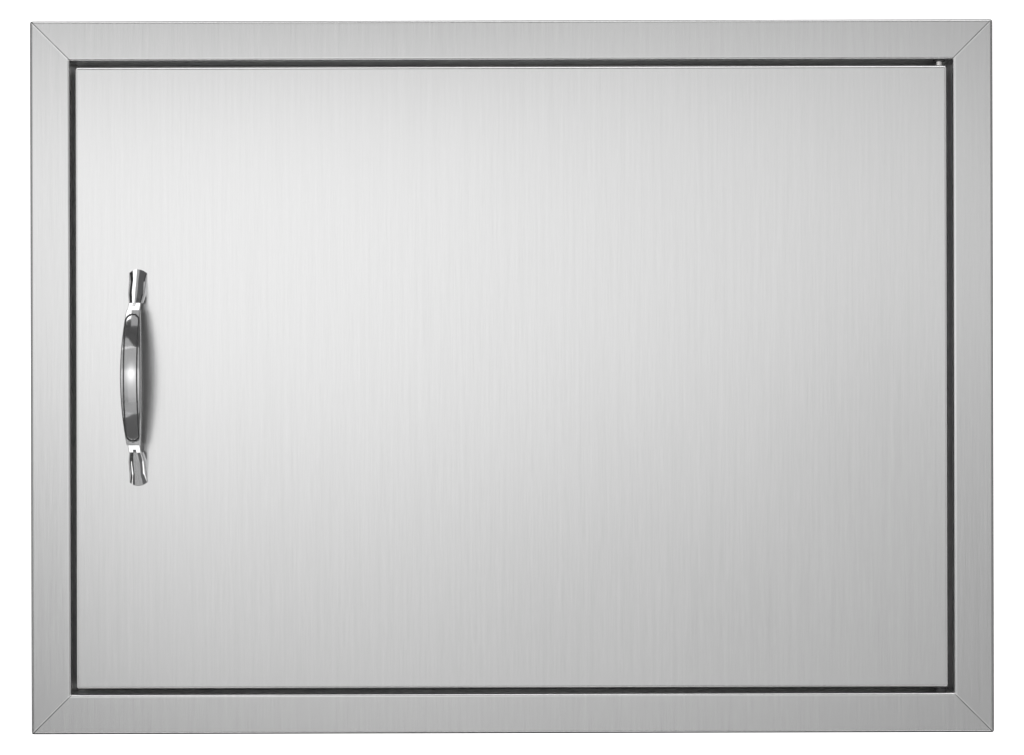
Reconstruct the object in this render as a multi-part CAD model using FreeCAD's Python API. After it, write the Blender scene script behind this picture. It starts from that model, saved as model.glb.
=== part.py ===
"""Flush access door for an outdoor kitchen island: a folded steel trim frame with a sleeve and a stop,
a folded tray door on two pivots, a sprung pivot bolt, a bow handle and a magnetic catch.

The row frame: +X to the right and +Z up as one faces the door, +Y into the island. The origin is the
centre of the cut-out, in the plane of the island's face on which the trim frame seats."""

import FreeCAD, Part
import math
import os

from FreeCAD import Vector

# Overall sizes of the trim frame
frame_width = 685.8
frame_height = 508.0
face_width = 28.5
lip_depth = 9.0
sleeve_length = 20.0
corner_radius = 2.5

# Sheet and bends
frame_sheet = 1.0
door_sheet = 1.0
bracket_sheet = 1.2
inside_bend = 1.0

# Door tray and the gaps round it
door_depth = 20.0
hem_width = 22.0
gap_latch = 3.7
gap_hinge = 4.3
gap_top = 4.4
gap_bottom = 3.6
stop_gap = 2.5
stop_width = 12.0
hem_slit = 0.8

# Stiffeners inside the tray
hat_crown = 24.0
hat_height = 15.0
hat_flange = 9.0
hat_sheet = 0.8
hat_spacing = 206.0
hat_end_clearance = 3.0

# Pivots
axis_from_face = 6.5
pin_radius = 2.5
running_clearance = 0.05
hole_clearance = 0.3
seat_clearance = 0.3
bush_wall = 0.8
bush_flange_step = 0.95
bush_flange = 1.0
bush_length = 7.0
pin_engagement = 6.0
pin_head_radius = 4.5
pin_head = 1.5
pin_lead = 0.8
bolt_travel = 11.0
stem_radius = 1.5
finger_length = 30.0
finger_bend = 4.5
finger_end_round = 0.9
clip_radius = 3.1
clip_thickness = 0.8
bracket_width = 11.0
bracket_depth = 12.5
top_bracket_height = 25.0
bottom_bracket_height = 18.0

# Spring on the bolt's stem
spring_wire = 0.7
spring_turns = 4
spring_closed_gap = 0.7
spring_stem_clearance = 0.25
shoulder_drop = 4.0

# Handle
handle_from_edge = 44.9
handle_hole_spacing = 128.0
handle_length = 154.0
foot_width = 12.7
foot_length = 18.0
foot_end_bulge = 2.8
foot_edge_height = 1.8
heel_narrowing = 0.5
instep_narrowing = 0.1
neck_position = 50.0
neck_band = 5.2
neck_width = 8.8
neck_height = 18.0
neck_under = 9.5
neck_step = 0.7
neck_slope = 0.8
heel_height = 10.6
handle_edge = 1.4
edge_share = 0.3
bow_shoulder_share = 0.34
heel_shoulder_share = 0.36
instep_shoulder_share = 0.5
toe_shoulder_share = 0.75
bow_bevel_share = 0.18
foot_bevel_share = 0.3
flat_share = 0.62
bow_width = 15.0
bow_height = 30.0
bow_thickness = 10.5
bow_steps = 3
panel_width = 8.4
panel_end = 3.5
panel_corner = 3.8
groove_width = 0.7
groove_depth = 0.9
screw_radius = 2.0
screw_engagement = 6.0
screw_head_radius = 3.6
screw_head = 2.4
socket_radius = 1.2
socket_floor = 1.1
washer_radius = 4.5
washer_thickness = 0.8

# Magnetic catch, its strike and the stop bumpers
catch_width = 13.0
catch_height = 46.0
catch_depth = 15.0
catch_wall = 2.0
case_corner = 1.5
ear_length = 8.0
ear_thickness = 3.0
ear_depth = 12.0
ear_corner = 2.0
magnet_width = 5.0
magnet_height = 34.0
magnet_recess = 1.5
pole_thickness = 1.2
pole_length = 12.0
pole_proud = 1.0
pole_corner = 1.0
catch_screw_radius = 1.6
catch_screw_length = 8.0
catch_screw_head_radius = 3.0
catch_screw_head = 1.8
catch_screw_point = 0.2
catch_slot_length = 6.0
strike_sheet = 1.2
strike_width = 14.0
strike_height = 62.0
strike_corner = 2.5
rivet_spacing = 52.0
rivet_radius = 1.6
rivet_head_radius = 3.0
rivet_head = 1.0
rivet_tail_radius = 2.2
bumper_radius = 3.0
bumper_tip_radius = 2.1
bumper_spacing = 360.0
bumper_offset_x = -200.0

# Screw holes for the island, in the sleeves of the two stiles
mount_hole_radius = 2.5
mount_hole_spacing = 360.0
mount_hole_from_rear = 10.0

# Slack for picking edges and for arcs that would close on themselves
tolerance = 1e-6
round_slack = 0.01
spring_samples = 5

# Places worked out from the sizes above
outside_bend = inside_bend + frame_sheet
face_y = -lip_depth
opening_half_x = frame_width / 2 - face_width
opening_half_z = frame_height / 2 - face_width
jamb_depth = door_depth + stop_gap
frame_depth = jamb_depth + frame_sheet + sleeve_length
stop_y = face_y + jamb_depth
mount_hole_y = face_y + frame_depth - mount_hole_from_rear
sleeve_half_x = opening_half_x - stop_width
sleeve_half_z = opening_half_z - stop_width
door_left = -opening_half_x + gap_latch
door_right = opening_half_x - gap_hinge
door_bottom = -opening_half_z + gap_bottom
door_top = opening_half_z - gap_top
skin_y = face_y + door_sheet
door_back = face_y + door_depth
bush_radius = pin_radius + running_clearance + bush_wall
bush_flange_radius = bush_radius + bush_flange_step
axis_from_edge = door_sheet + bush_radius + running_clearance
axis_x = door_right - axis_from_edge
axis_y = face_y + axis_from_face
rivet_hole = rivet_radius + running_clearance
bolt_tip = opening_half_z + pin_engagement
shoulder_z = door_top - door_sheet - bracket_sheet - shoulder_drop
top_bracket_low = door_top - door_sheet - top_bracket_height
spring_low = top_bracket_low + bracket_sheet
clip_top = top_bracket_low - seat_clearance
handle_x = door_left + handle_from_edge
latch_sleeve_x = -sleeve_half_x
catch_x = latch_sleeve_x + catch_width / 2
strike_back = door_back + strike_sheet
catch_front = strike_back + seat_clearance + pole_proud
LEFT, RIGHT, BOTTOM, TOP = range(4)


def rounded_wire(points, radii):
    """A closed wire through the corners, each rounded by a tangent arc of its own radius."""
    count = len(points)
    edges = []
    entries = []
    for index, (corner, radius) in enumerate(zip(points, radii)):
        before = points[index - 1]
        after = points[(index + 1) % count]
        if radius <= 0:
            entries.append((corner, corner, None))
            continue
        back = (before - corner).normalize()
        ahead = (after - corner).normalize()
        half = back.getAngle(ahead) / 2
        reach = radius / math.tan(half)
        middle = (back + ahead).normalize()
        crest = corner + middle * (radius / math.sin(half) - radius)
        entries.append((corner + back * reach, corner + ahead * reach, crest))
    for index, (start, end, crest) in enumerate(entries):
        if crest is not None:
            edges.append(Part.Arc(start, crest, end).toShape())
        following = entries[(index + 1) % count][0]
        if (following - end).Length > tolerance:
            edges.append(Part.LineSegment(end, following).toShape())
    return Part.Wire(edges)


def prism(points, radii, along):
    """The rounded outline, filled and pushed along a vector."""
    return Part.Face(rounded_wire(points, radii)).extrude(along)


def strip_outline(path, thickness, inside_radius):
    """Corners and radii of a folded strip's section, from the corners of its middle line.

    Each bend is an arc of the inside radius on its hollow side, and of that plus the sheet outside."""
    left, right, left_radii, right_radii = [], [], [], []
    for index, (u, v) in enumerate(path):
        before = path[index - 1] if index else None
        after = path[index + 1] if index + 1 < len(path) else None
        ways = []
        for start, end in ((before, (u, v)), ((u, v), after)):
            if start is None or end is None:
                continue
            length = math.hypot(end[0] - start[0], end[1] - start[1])
            ways.append(((end[0] - start[0]) / length, (end[1] - start[1]) / length))
        first, last = ways[0], ways[-1]
        normal = (-(first[1] + last[1]), first[0] + last[0])
        size = math.hypot(*normal)
        normal = (normal[0] / size, normal[1] / size)
        lean = normal[0] * -first[1] + normal[1] * first[0]
        shift = thickness / 2 / lean
        left.append((u + normal[0] * shift, v + normal[1] * shift))
        right.append((u - normal[0] * shift, v - normal[1] * shift))
        turn = first[0] * last[1] - first[1] * last[0]
        if len(ways) < 2 or abs(turn) < tolerance:
            left_radii.append(0)
            right_radii.append(0)
        else:
            outer = inside_radius + thickness
            left_radii.append(inside_radius if turn > 0 else outer)
            right_radii.append(outer if turn > 0 else inside_radius)
    return left + right[::-1], left_radii + right_radii[::-1]


def folded(path, thickness, origin, u_way, v_way, along):
    """A folded strip: its middle line is given in u and v from origin, and it is pushed along a vector."""
    outline, radii = strip_outline(path, thickness, inside_bend)
    points = [origin + u_way * u + v_way * v for u, v in outline]
    return prism(points, radii, along)


def rod(radius, start, end):
    """A round bar between two points."""
    way = end - start
    return Part.makeCylinder(radius, way.Length, start, way)


def block(low, high):
    """A box between its lowest and its highest corner."""
    size = high - low
    return Part.makeBox(size.x, size.y, size.z, low)


def turned_part(outline, centre):
    """A solid turned about the upright line through centre, from points of radius and height."""
    points = [centre + Vector(radius, 0, height) for radius, height in outline]
    wire = Part.makePolygon(points + [points[0]])
    return Part.Face(wire).revolve(centre, Vector(0, 0, 1), 360)


def domed_head(radius, height, base, way):
    """A rivet's or a pan screw's head: a low dome that stands on base and looks along way."""
    sphere = (radius ** 2 + height ** 2) / (2 * height)
    ball = Part.makeSphere(sphere, base + way * (height - sphere))
    return ball.common(rod(radius, base, base + way * height))


def frame_rail(side):
    """One side of the trim frame: outer lip, face, jamb, stop and sleeve, folded from one strip.

    It is divided where the stop's bend begins into two touching solids, before and behind it."""
    half_sheet = frame_sheet / 2
    sleeve_u = face_width + stop_width - half_sheet
    stop_v = jamb_depth + half_sheet
    path = [
        (half_sheet, lip_depth),
        (half_sheet, half_sheet),
        (face_width - half_sheet, half_sheet),
        (face_width - half_sheet, stop_v),
        (sleeve_u, stop_v),
        (sleeve_u, frame_depth),
    ]
    half_x = frame_width / 2
    half_z = frame_height / 2
    start, inward, along = {
        LEFT: (Vector(-half_x, face_y, -half_z), Vector(1, 0, 0), Vector(0, 0, frame_height)),
        RIGHT: (Vector(half_x, face_y, -half_z), Vector(-1, 0, 0), Vector(0, 0, frame_height)),
        BOTTOM: (Vector(-half_x, face_y, -half_z), Vector(0, 0, 1), Vector(frame_width, 0, 0)),
        TOP: (Vector(-half_x, face_y, half_z), Vector(0, 0, -1), Vector(frame_width, 0, 0)),
    }[side]
    rail = folded(path, frame_sheet, start, inward, Vector(0, 1, 0), along)
    depth = Vector(0, frame_depth, 0)
    reach = face_width + stop_width
    far = start + along
    mitre = [start, far, far + (inward - along.normalize()) * reach]
    mitre.append(start + (inward + along) * reach)
    rail = rail.common(prism(mitre, [0] * 4, depth))
    corners = [
        Vector(-half_x, face_y, -half_z),
        Vector(half_x, face_y, -half_z),
        Vector(half_x, face_y, half_z),
        Vector(-half_x, face_y, half_z),
    ]
    rail = rail.common(prism(corners, [corner_radius] * 4, depth))
    bend_start = stop_y - inside_bend
    front = block(Vector(-half_x, face_y, -half_z), Vector(half_x, bend_start, half_z))
    return Part.makeCompound([rail.common(front), rail.cut(front)])


def across_sleeve(side, radius, y, z):
    """The cutter of one screw hole, through the sleeve of a stile."""
    way = -1 if side == LEFT else 1
    centre = Vector(way * (sleeve_half_x + frame_sheet / 2), y, z)
    reach = Vector(frame_sheet, 0, 0)
    return rod(radius, centre - reach, centre + reach)


def stile(side):
    """An upright side of the frame, with its two screw holes for the island behind the closed door."""
    shape = frame_rail(side)
    for z in (-mount_hole_spacing / 2, mount_hole_spacing / 2):
        shape = shape.cut(across_sleeve(side, mount_hole_radius, mount_hole_y, z))
    return shape


def catch_screw_heights():
    """Heights of the two screws in the catch's ears."""
    reach = catch_height / 2 + ear_length / 2
    return (-reach, reach)


def latch_stile():
    """The left stile, with the pilot holes of the catch in its sleeve."""
    shape = stile(LEFT)
    for z in catch_screw_heights():
        shape = shape.cut(across_sleeve(LEFT, catch_screw_radius, catch_screw_y(), z))
    return shape


def catch_screw_y():
    """How deep the catch's screws stand behind the face plane of the island."""
    return catch_front + catch_depth - ear_depth / 2


def top_rail():
    """The upper side of the frame, with the hole of the top pivot's bush."""
    low = Vector(axis_x, axis_y, opening_half_z - frame_sheet)
    high = Vector(axis_x, axis_y, opening_half_z + 2 * frame_sheet)
    return frame_rail(TOP).cut(rod(bush_radius + running_clearance, low, high))


def bottom_rail():
    """The lower side of the frame, with the hole of the bottom pivot pin."""
    low = Vector(axis_x, axis_y, -opening_half_z - 2 * frame_sheet)
    high = Vector(axis_x, axis_y, -opening_half_z + frame_sheet)
    return frame_rail(BOTTOM).cut(rod(pin_radius + running_clearance, low, high))


def top_pivot_bush():
    """A flanged plastic bush, pushed up through the top jamb, in which the bolt's tip turns."""
    bore = pin_radius + running_clearance
    outline = [
        (bore, -bush_flange),
        (bush_flange_radius, -bush_flange),
        (bush_flange_radius, 0),
        (bush_radius, 0),
        (bush_radius, bush_length),
        (bore, bush_length),
    ]
    return turned_part(outline, Vector(axis_x, axis_y, opening_half_z))


def bottom_pivot_pin():
    """The fixed pin: a head under the bottom jamb, and a shank with a rounded lead-in."""
    seat = -opening_half_z - frame_sheet
    tip = door_bottom + door_sheet + bottom_bracket_height - bracket_sheet
    outline = [
        (0, seat - pin_head),
        (pin_head_radius, seat - pin_head),
        (pin_head_radius, seat),
        (pin_radius, seat),
        (pin_radius, tip - pin_lead),
        (pin_radius - pin_lead, tip),
        (0, tip),
    ]
    return turned_part(outline, Vector(axis_x, axis_y, 0))


def bottom_pivot_washer():
    """The plastic washer on the pin, between the jamb and the door's bush."""
    bore = pin_radius + running_clearance
    top = gap_bottom - bush_flange - seat_clearance
    outline = [(bore, 0), (bush_flange_radius, 0), (bush_flange_radius, top), (bore, top)]
    return turned_part(outline, Vector(axis_x, axis_y, -opening_half_z))


def bottom_pivot_bush():
    """The flanged bush in the door's underside and its bracket, which turns on the pin."""
    bore = pin_radius + running_clearance
    outline = [
        (bore, -bush_flange),
        (bush_flange_radius - seat_clearance, -bush_flange),
        (bush_flange_radius - seat_clearance, 0),
        (bush_radius, 0),
        (bush_radius, bush_length),
        (bore, bush_length),
    ]
    return turned_part(outline, Vector(axis_x, axis_y, door_bottom))


def tray_box(inset, round_edges, corner):
    """The tray's outer or inner body: a block whose edges are rounded as the sheet's bends are."""
    low = Vector(door_left + inset, face_y + inset, door_bottom + inset)
    high = Vector(door_right - inset, door_back - inset, door_top - inset)
    corners = [
        Vector(low.x, low.y, low.z),
        Vector(high.x, low.y, low.z),
        Vector(high.x, low.y, high.z),
        Vector(low.x, low.y, high.z),
    ]
    body = prism(corners, [corner] * 4, Vector(0, high.y - low.y, 0))
    rims = [edge for edge in body.Edges if abs(edge.BoundBox.YLength) < tolerance]
    return body.makeFillet(round_edges, rims)


def hem_slits():
    """The four cutters that part the hems along their mitres."""
    cutters = []
    width = Vector(hem_slit / 2, 0, 0)
    for x, way_x in ((door_left, 1), (door_right, -1)):
        for z, way_z in ((door_bottom, 1), (door_top, -1)):
            way = Vector(way_x, 0, way_z)
            near = Vector(x, door_back - 2 * door_sheet, z) + way * (inside_bend + door_sheet)
            far = near + way * hem_width
            points = [near - width, near + width, far + width, far - width]
            cutters.append(prism(points, [0] * 4, Vector(0, 3 * door_sheet, 0)))
    return cutters


def folded_tray():
    """The door's sheet, folded: skin, four sides and four hems, open at the back, with its holes."""
    outside = inside_bend + door_sheet
    shape = tray_box(0, outside - round_slack, outside)
    shape = shape.cut(tray_box(door_sheet, inside_bend - round_slack, inside_bend))
    window = [
        Vector(door_left + hem_width, 0, door_bottom + hem_width),
        Vector(door_right - hem_width, 0, door_bottom + hem_width),
        Vector(door_right - hem_width, 0, door_top - hem_width),
        Vector(door_left + hem_width, 0, door_top - hem_width),
    ]
    shape = shape.cut(prism(window, [inside_bend] * 4, Vector(0, door_depth, 0)))
    for cutter in hem_slits():
        shape = shape.cut(cutter)
    up = Vector(0, 0, 2 * door_sheet)
    top = Vector(axis_x, axis_y, door_top)
    shape = shape.cut(rod(pin_radius + hole_clearance, top - up, top + up))
    bottom = Vector(axis_x, axis_y, door_bottom)
    shape = shape.cut(rod(bush_radius + running_clearance, bottom - up, bottom + up))
    for z in handle_hole_heights():
        centre = Vector(handle_x, face_y, z)
        shape = shape.cut(rod(screw_radius + hole_clearance, centre, centre + Vector(0, 2 * door_sheet, 0)))
    for z in rivet_heights():
        centre = Vector(catch_x, door_back, z)
        shape = shape.cut(rod(rivet_hole, centre - Vector(0, 2 * door_sheet, 0), centre))
    return shape


def door_panel():
    """The door's tray. One folded sheet, divided where its bends end into five touching solids: the
    skin with its bends, and each side with its hem, parted from its neighbours at the mitres."""
    tray = folded_tray()
    bend_end = skin_y + inside_bend
    reach = hem_width + 2 * door_sheet
    depth = Vector(0, door_back - bend_end, 0)
    outer = [
        Vector(door_left, bend_end, door_bottom),
        Vector(door_right, bend_end, door_bottom),
        Vector(door_right, bend_end, door_top),
        Vector(door_left, bend_end, door_top),
    ]
    inward = [
        Vector(reach, 0, reach),
        Vector(-reach, 0, reach),
        Vector(-reach, 0, -reach),
        Vector(reach, 0, -reach),
    ]
    inner = [corner + way for corner, way in zip(outer, inward)]
    skin = tray.common(block(Vector(door_left, face_y, door_bottom), Vector(door_right, bend_end, door_top)))
    pieces = [skin]
    for index in range(4):
        after = (index + 1) % 4
        side = [outer[index], outer[after], inner[after], inner[index]]
        pieces.append(tray.common(prism(side, [0] * 4, depth)))
    return Part.makeCompound(pieces)


def hat_places():
    """Where the middle lines of the two stiffeners stand."""
    middle = (door_left + door_right) / 2
    return (middle - hat_spacing / 2, middle + hat_spacing / 2)


def door_stiffeners():
    """Two upright hat sections, spot-welded to the back of the skin."""
    half_crown = hat_crown / 2
    low = hat_sheet / 2
    high = hat_height - low
    path = [
        (-half_crown - hat_flange, low),
        (-half_crown + low, low),
        (-half_crown + low, high),
        (half_crown - low, high),
        (half_crown - low, low),
        (half_crown + hat_flange, low),
    ]
    bottom = door_bottom + door_sheet + hat_end_clearance
    height = door_top - door_sheet - hat_end_clearance - bottom
    hats = []
    for x in hat_places():
        start = Vector(x, skin_y, bottom)
        hats.append(folded(path, hat_sheet, start, Vector(1, 0, 0), Vector(0, 1, 0), Vector(0, 0, height)))
    return Part.makeCompound(hats)


def pivot_bracket(low, height):
    """A U of thicker sheet on the skin's back, whose two ears stand square to the pivot's axis."""
    half = bracket_sheet / 2
    path = [(bracket_depth, half), (half, half), (half, height - half), (bracket_depth, height - half)]
    start = Vector(door_right - door_sheet - bracket_width, skin_y, low)
    along = Vector(bracket_width - seat_clearance, 0, 0)
    strip = folded(path, bracket_sheet, start, Vector(0, 1, 0), Vector(0, 0, 1), along)
    return strip.common(tray_box(door_sheet, inside_bend - round_slack, inside_bend))


def top_pivot_bracket():
    """The bolt's guide: the bolt runs in the upper ear and its stem in the lower one."""
    shape = pivot_bracket(top_bracket_low, top_bracket_height)
    upper = Vector(axis_x, axis_y, door_top - door_sheet)
    drop = Vector(0, 0, 2 * bracket_sheet)
    shape = shape.cut(rod(pin_radius + running_clearance, upper - drop, upper))
    lower = Vector(axis_x, axis_y, top_bracket_low)
    return shape.cut(rod(stem_radius + running_clearance, lower - drop, lower + drop))


def bottom_pivot_bracket():
    """The lower bracket, which keeps the bush and the pin upright."""
    low = door_bottom + door_sheet
    shape = pivot_bracket(low, bottom_bracket_height)
    axis = Vector(axis_x, axis_y, low)
    rise = Vector(0, 0, 2 * bracket_sheet)
    shape = shape.cut(rod(bush_radius + running_clearance, axis - rise, axis + rise))
    ear = Vector(axis_x, axis_y, low + bottom_bracket_height)
    return shape.cut(rod(pin_radius + hole_clearance, ear - rise, ear))


def pivot_bolt():
    """The sprung bolt: a turned tip and shoulder, and a slim stem whose foot is bent into a finger."""
    elbow_z = clip_top - clip_thickness - seat_clearance
    finger_z = elbow_z - finger_bend
    tip = [
        (0, elbow_z),
        (stem_radius, elbow_z),
        (stem_radius, shoulder_z),
        (pin_radius, shoulder_z),
        (pin_radius, bolt_tip - pin_lead),
        (pin_radius - pin_lead, bolt_tip),
        (0, bolt_tip),
    ]
    shape = turned_part(tip, Vector(axis_x, axis_y, 0))
    start = Vector(axis_x, axis_y, elbow_z)
    end = Vector(axis_x - finger_bend, axis_y, finger_z)
    hub = Vector(axis_x - finger_bend, axis_y, elbow_z)
    crest = hub + Vector(math.sqrt(0.5), 0, -math.sqrt(0.5)) * finger_bend
    path = Part.Wire(Part.Arc(start, crest, end).toShape())
    section = Part.Wire(Part.makeCircle(stem_radius, start, Vector(0, 0, 1)))
    elbow = path.makePipeShell([section], True, False)
    straight = finger_length - finger_bend
    finger = rod(stem_radius, end, end - Vector(straight, 0, 0))
    rim = [edge for edge in finger.Edges if edge.BoundBox.XMax < end.x - straight + round_slack]
    finger = finger.makeFillet(finger_end_round, rim)
    return shape.fuse([elbow, finger]).removeSplitter()


def bolt_clip():
    """The retaining clip on the stem, under the bracket's lower ear: a ring with a mouth."""
    outline = [
        (stem_radius, -clip_thickness),
        (clip_radius, -clip_thickness),
        (clip_radius, 0),
        (stem_radius, 0),
    ]
    ring = turned_part(outline, Vector(axis_x, axis_y, clip_top))
    mouth = block(
        Vector(axis_x - stem_radius, axis_y, clip_top - 2 * clip_thickness),
        Vector(axis_x + stem_radius, axis_y + 2 * clip_radius, clip_top + clip_thickness),
    )
    return ring.cut(mouth)


def biarc(start, start_way, end, end_way):
    """Two tangent arcs from start to end that leave and arrive along the given unit ways."""
    chord = end - start
    both = start_way + end_way
    a = both.dot(both) - 4
    b = -2 * chord.dot(both)
    c = chord.dot(chord)
    reach = (-b - math.sqrt(b * b - 4 * a * c)) / (2 * a)
    first = start + start_way * reach
    last = end - end_way * reach
    joint = (first + last) / 2
    edges = []
    for near, corner, far in ((start, first, joint), (joint, last, end)):
        middle = (near + far) / 2
        height = (middle - corner).Length
        half_chord = (far - near).Length / 2
        radius = reach * half_chord / height
        rise = radius - math.sqrt(radius ** 2 - half_chord ** 2)
        crest = middle + (corner - middle).normalize() * rise
        edges.append(Part.Arc(near, crest, far).toShape())
    return edges


def spring_heights():
    """The coil's height at each half turn: close end turns and even active turns between."""
    close = spring_wire + spring_closed_gap
    low = spring_low + seat_clearance + spring_wire / 2
    high = shoulder_z - seat_clearance - spring_wire / 2
    pitch = (high - low - 2 * close) / (spring_turns - 2)
    heights = []
    for half in range(2 * spring_turns + 1):
        turn = half / 2
        lower = min(turn, 1) * close
        upper = max(turn - spring_turns + 1, 0) * close
        heights.append(low + lower + upper + min(max(turn - 1, 0), spring_turns - 2) * pitch)
    return heights


def pivot_spring():
    """The compression spring between the lower ear and the bolt's shoulder, as one unbroken tube."""
    radius = stem_radius + spring_stem_clearance + spring_wire / 2
    heights = spring_heights()
    points, ways = [], []
    last = len(heights) - 1
    for half, height in enumerate(heights):
        angle = half * math.pi
        rise = (heights[min(half + 1, last)] - heights[max(half - 1, 0)]) / (2 * math.pi)
        if half in (0, last):
            rise = 0
        points.append(Vector(axis_x + radius * math.cos(angle), axis_y + radius * math.sin(angle), height))
        way = Vector(-radius * math.sin(angle), radius * math.cos(angle), rise)
        ways.append(way.normalize())
    start_run = points[0] - ways[0] * spring_wire
    end_run = points[-1] + ways[-1] * spring_wire
    edges = [Part.LineSegment(start_run, points[0]).toShape()]
    for index in range(len(points) - 1):
        edges.extend(biarc(points[index], ways[index], points[index + 1], ways[index + 1]))
    edges.append(Part.LineSegment(points[-1], end_run).toShape())
    path = Part.Wire(edges)
    section = Part.Wire(Part.makeCircle(spring_wire / 2, start_run, ways[0]))
    print_self_gap(edges, radius)
    return path.makePipeShell([section], True, False)


def print_self_gap(edges, radius):
    """Print the least gap between the spring's turns, measured on points along its middle line."""
    points = []
    for edge in edges:
        points.extend(edge.discretize(Number=spring_samples)[:-1])
    apart = spring_samples - 1
    least = math.inf
    for index, point in enumerate(points):
        for other in points[index + apart:]:
            distance = (other - point).Length
            level = math.hypot(other.x - point.x, other.y - point.y)
            if level < radius / 2 and abs(other.z - point.z) > spring_wire / 2:
                least = min(least, distance)
    print(f"spring: least gap to itself {least - spring_wire:.2f} mm, coil radius {radius:.2f} mm")


def handle_hole_heights():
    """Heights of the handle's two screws, about the middle of the frame."""
    return (-handle_hole_spacing / 2, handle_hole_spacing / 2)


def bow_stations(groove):
    """Stations of the bow between its necks, along parabolas: height, half width, underside, crest and
    the shares of its shoulder and bevel.

    The underside and the crest are counted from the door's face. A groove lowers the crest."""
    neck = neck_position - neck_band / 2
    under = bow_height - bow_thickness
    stations = []
    for step in range(-bow_steps, bow_steps + 1):
        share = 1 - (step / bow_steps) ** 2
        stations.append((
            neck * step / bow_steps,
            neck_width / 2 + neck_step + (bow_width / 2 - neck_width / 2 - neck_step) * share,
            neck_under + (under - neck_under) * share,
            neck_height + neck_step + (bow_height - neck_height - neck_step) * share - groove,
            bow_shoulder_share,
            bow_bevel_share,
        ))
    return stations


def foot_stations(way):
    """Stations of one neck and foot, from the bow outwards, in three stretches of their own.

    The foot falls evenly from its heel to its toe, and its back grows rounder on the way."""
    neck_in = neck_position - neck_band / 2
    neck_out = neck_position + neck_band / 2
    end = handle_length / 2
    heel = end - foot_length
    half_neck = neck_width / 2
    instep = (heel_height + foot_edge_height) / 2
    fall = neck_band * neck_slope
    heel_half = foot_width / 2 - heel_narrowing
    instep_half = foot_width / 2 - instep_narrowing
    heel_station = (heel, heel_half, 0, heel_height, heel_shoulder_share, foot_bevel_share)
    band = [
        (neck_in, half_neck, neck_under, neck_height, bow_shoulder_share, bow_bevel_share),
        (neck_out, half_neck, neck_under - fall, neck_height - fall, bow_shoulder_share, bow_bevel_share),
    ]
    ankle = [
        (neck_out, half_neck + neck_step / 2, neck_under - fall, neck_height - fall - neck_step,
         bow_shoulder_share, foot_bevel_share),
        heel_station,
    ]
    foot = [
        heel_station,
        (end - foot_length / 2, instep_half, 0, instep, instep_shoulder_share, foot_bevel_share),
        (end, foot_width / 2, 0, foot_edge_height, toe_shoulder_share, foot_bevel_share),
    ]
    return [[(way * station[0], *station[1:]) for station in part] for part in (band, ankle, foot)]


def bow_section(z, half_width, under, crest, shoulder_share, bevel_share):
    """The handle's section: rounded lower corners, bevelled shoulders and a crowned front."""
    height = crest - under
    side = min(handle_edge, height * edge_share, height * (1 - shoulder_share) / 2)
    shoulder = height * shoulder_share
    flat = half_width * flat_share
    bevel_top = height - shoulder * bevel_share
    lower = side * (1 - math.sqrt(0.5))

    def at(u, rise):
        return Vector(handle_x + u, face_y - under - rise, z)

    points = [
        at(-half_width + side, 0),
        at(half_width - side, 0),
        at(half_width, side),
        at(half_width, height - shoulder),
        at(flat, bevel_top),
        at(-flat, bevel_top),
        at(-half_width, height - shoulder),
        at(-half_width, side),
    ]
    crests = {
        1: at(half_width - lower, lower),
        4: at(0, height),
        7: at(lower - half_width, lower),
    }
    edges = []
    for index, point in enumerate(points):
        following = points[(index + 1) % len(points)]
        if index in crests:
            edges.append(Part.Arc(point, crests[index], following).toShape())
        else:
            edges.append(Part.LineSegment(point, following).toShape())
    return Part.Wire(edges)


def lofted(stations, ruled):
    """A solid through the sections at these stations."""
    return Part.makeLoft([bow_section(*station) for station in stations], True, ruled)


def pill(half_width, half_length, radius):
    """Corners and radii of an upright rounded outline round the handle's middle line."""
    low = -half_length
    points = [
        Vector(handle_x - half_width, 0, low),
        Vector(handle_x + half_width, 0, low),
        Vector(handle_x + half_width, 0, half_length),
        Vector(handle_x - half_width, 0, half_length),
    ]
    return points, [radius] * 4


def handle():
    """The cast bow handle: two feet on the door, a narrow neck at each, and a crowned bow between
    them, whose front is a raised panel framed by a groove."""
    out = Vector(0, face_y - bow_height, 0)
    bow = lofted(bow_stations(0), False)
    half_panel = panel_width / 2
    half_length = neck_position - neck_band / 2 - panel_end
    frame = prism(*pill(half_panel + groove_width, half_length + groove_width, half_panel), out)
    frame = frame.cut(prism(*pill(half_panel, half_length, panel_corner), out))
    bow = bow.cut(frame.cut(lofted(bow_stations(groove_depth), False)))
    pieces = []
    for way in (-1, 1):
        band, ankle, foot = foot_stations(way)
        pieces += [lofted(band, True), lofted(ankle, True), lofted(foot, False)]
    shape = bow.fuse(pieces)
    end_radius = (foot_width ** 2 / 4 + foot_end_bulge ** 2) / (2 * foot_end_bulge)
    shape = shape.common(prism(*pill(end_radius, handle_length / 2, end_radius - round_slack), out))
    for z in handle_hole_heights():
        base = Vector(handle_x, face_y, z)
        depth = Vector(0, -screw_engagement - seat_clearance, 0)
        shape = shape.cut(rod(screw_radius + running_clearance, base, base + depth))
    return shape


def handle_washers():
    """Flat washers under the heads of the handle's screws, on the back of the skin."""
    washers = []
    for z in handle_hole_heights():
        base = Vector(handle_x, skin_y, z)
        top = base + Vector(0, washer_thickness, 0)
        washers.append(rod(washer_radius, base, top).cut(rod(screw_radius + running_clearance, base, top)))
    return Part.makeCompound(washers)


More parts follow.
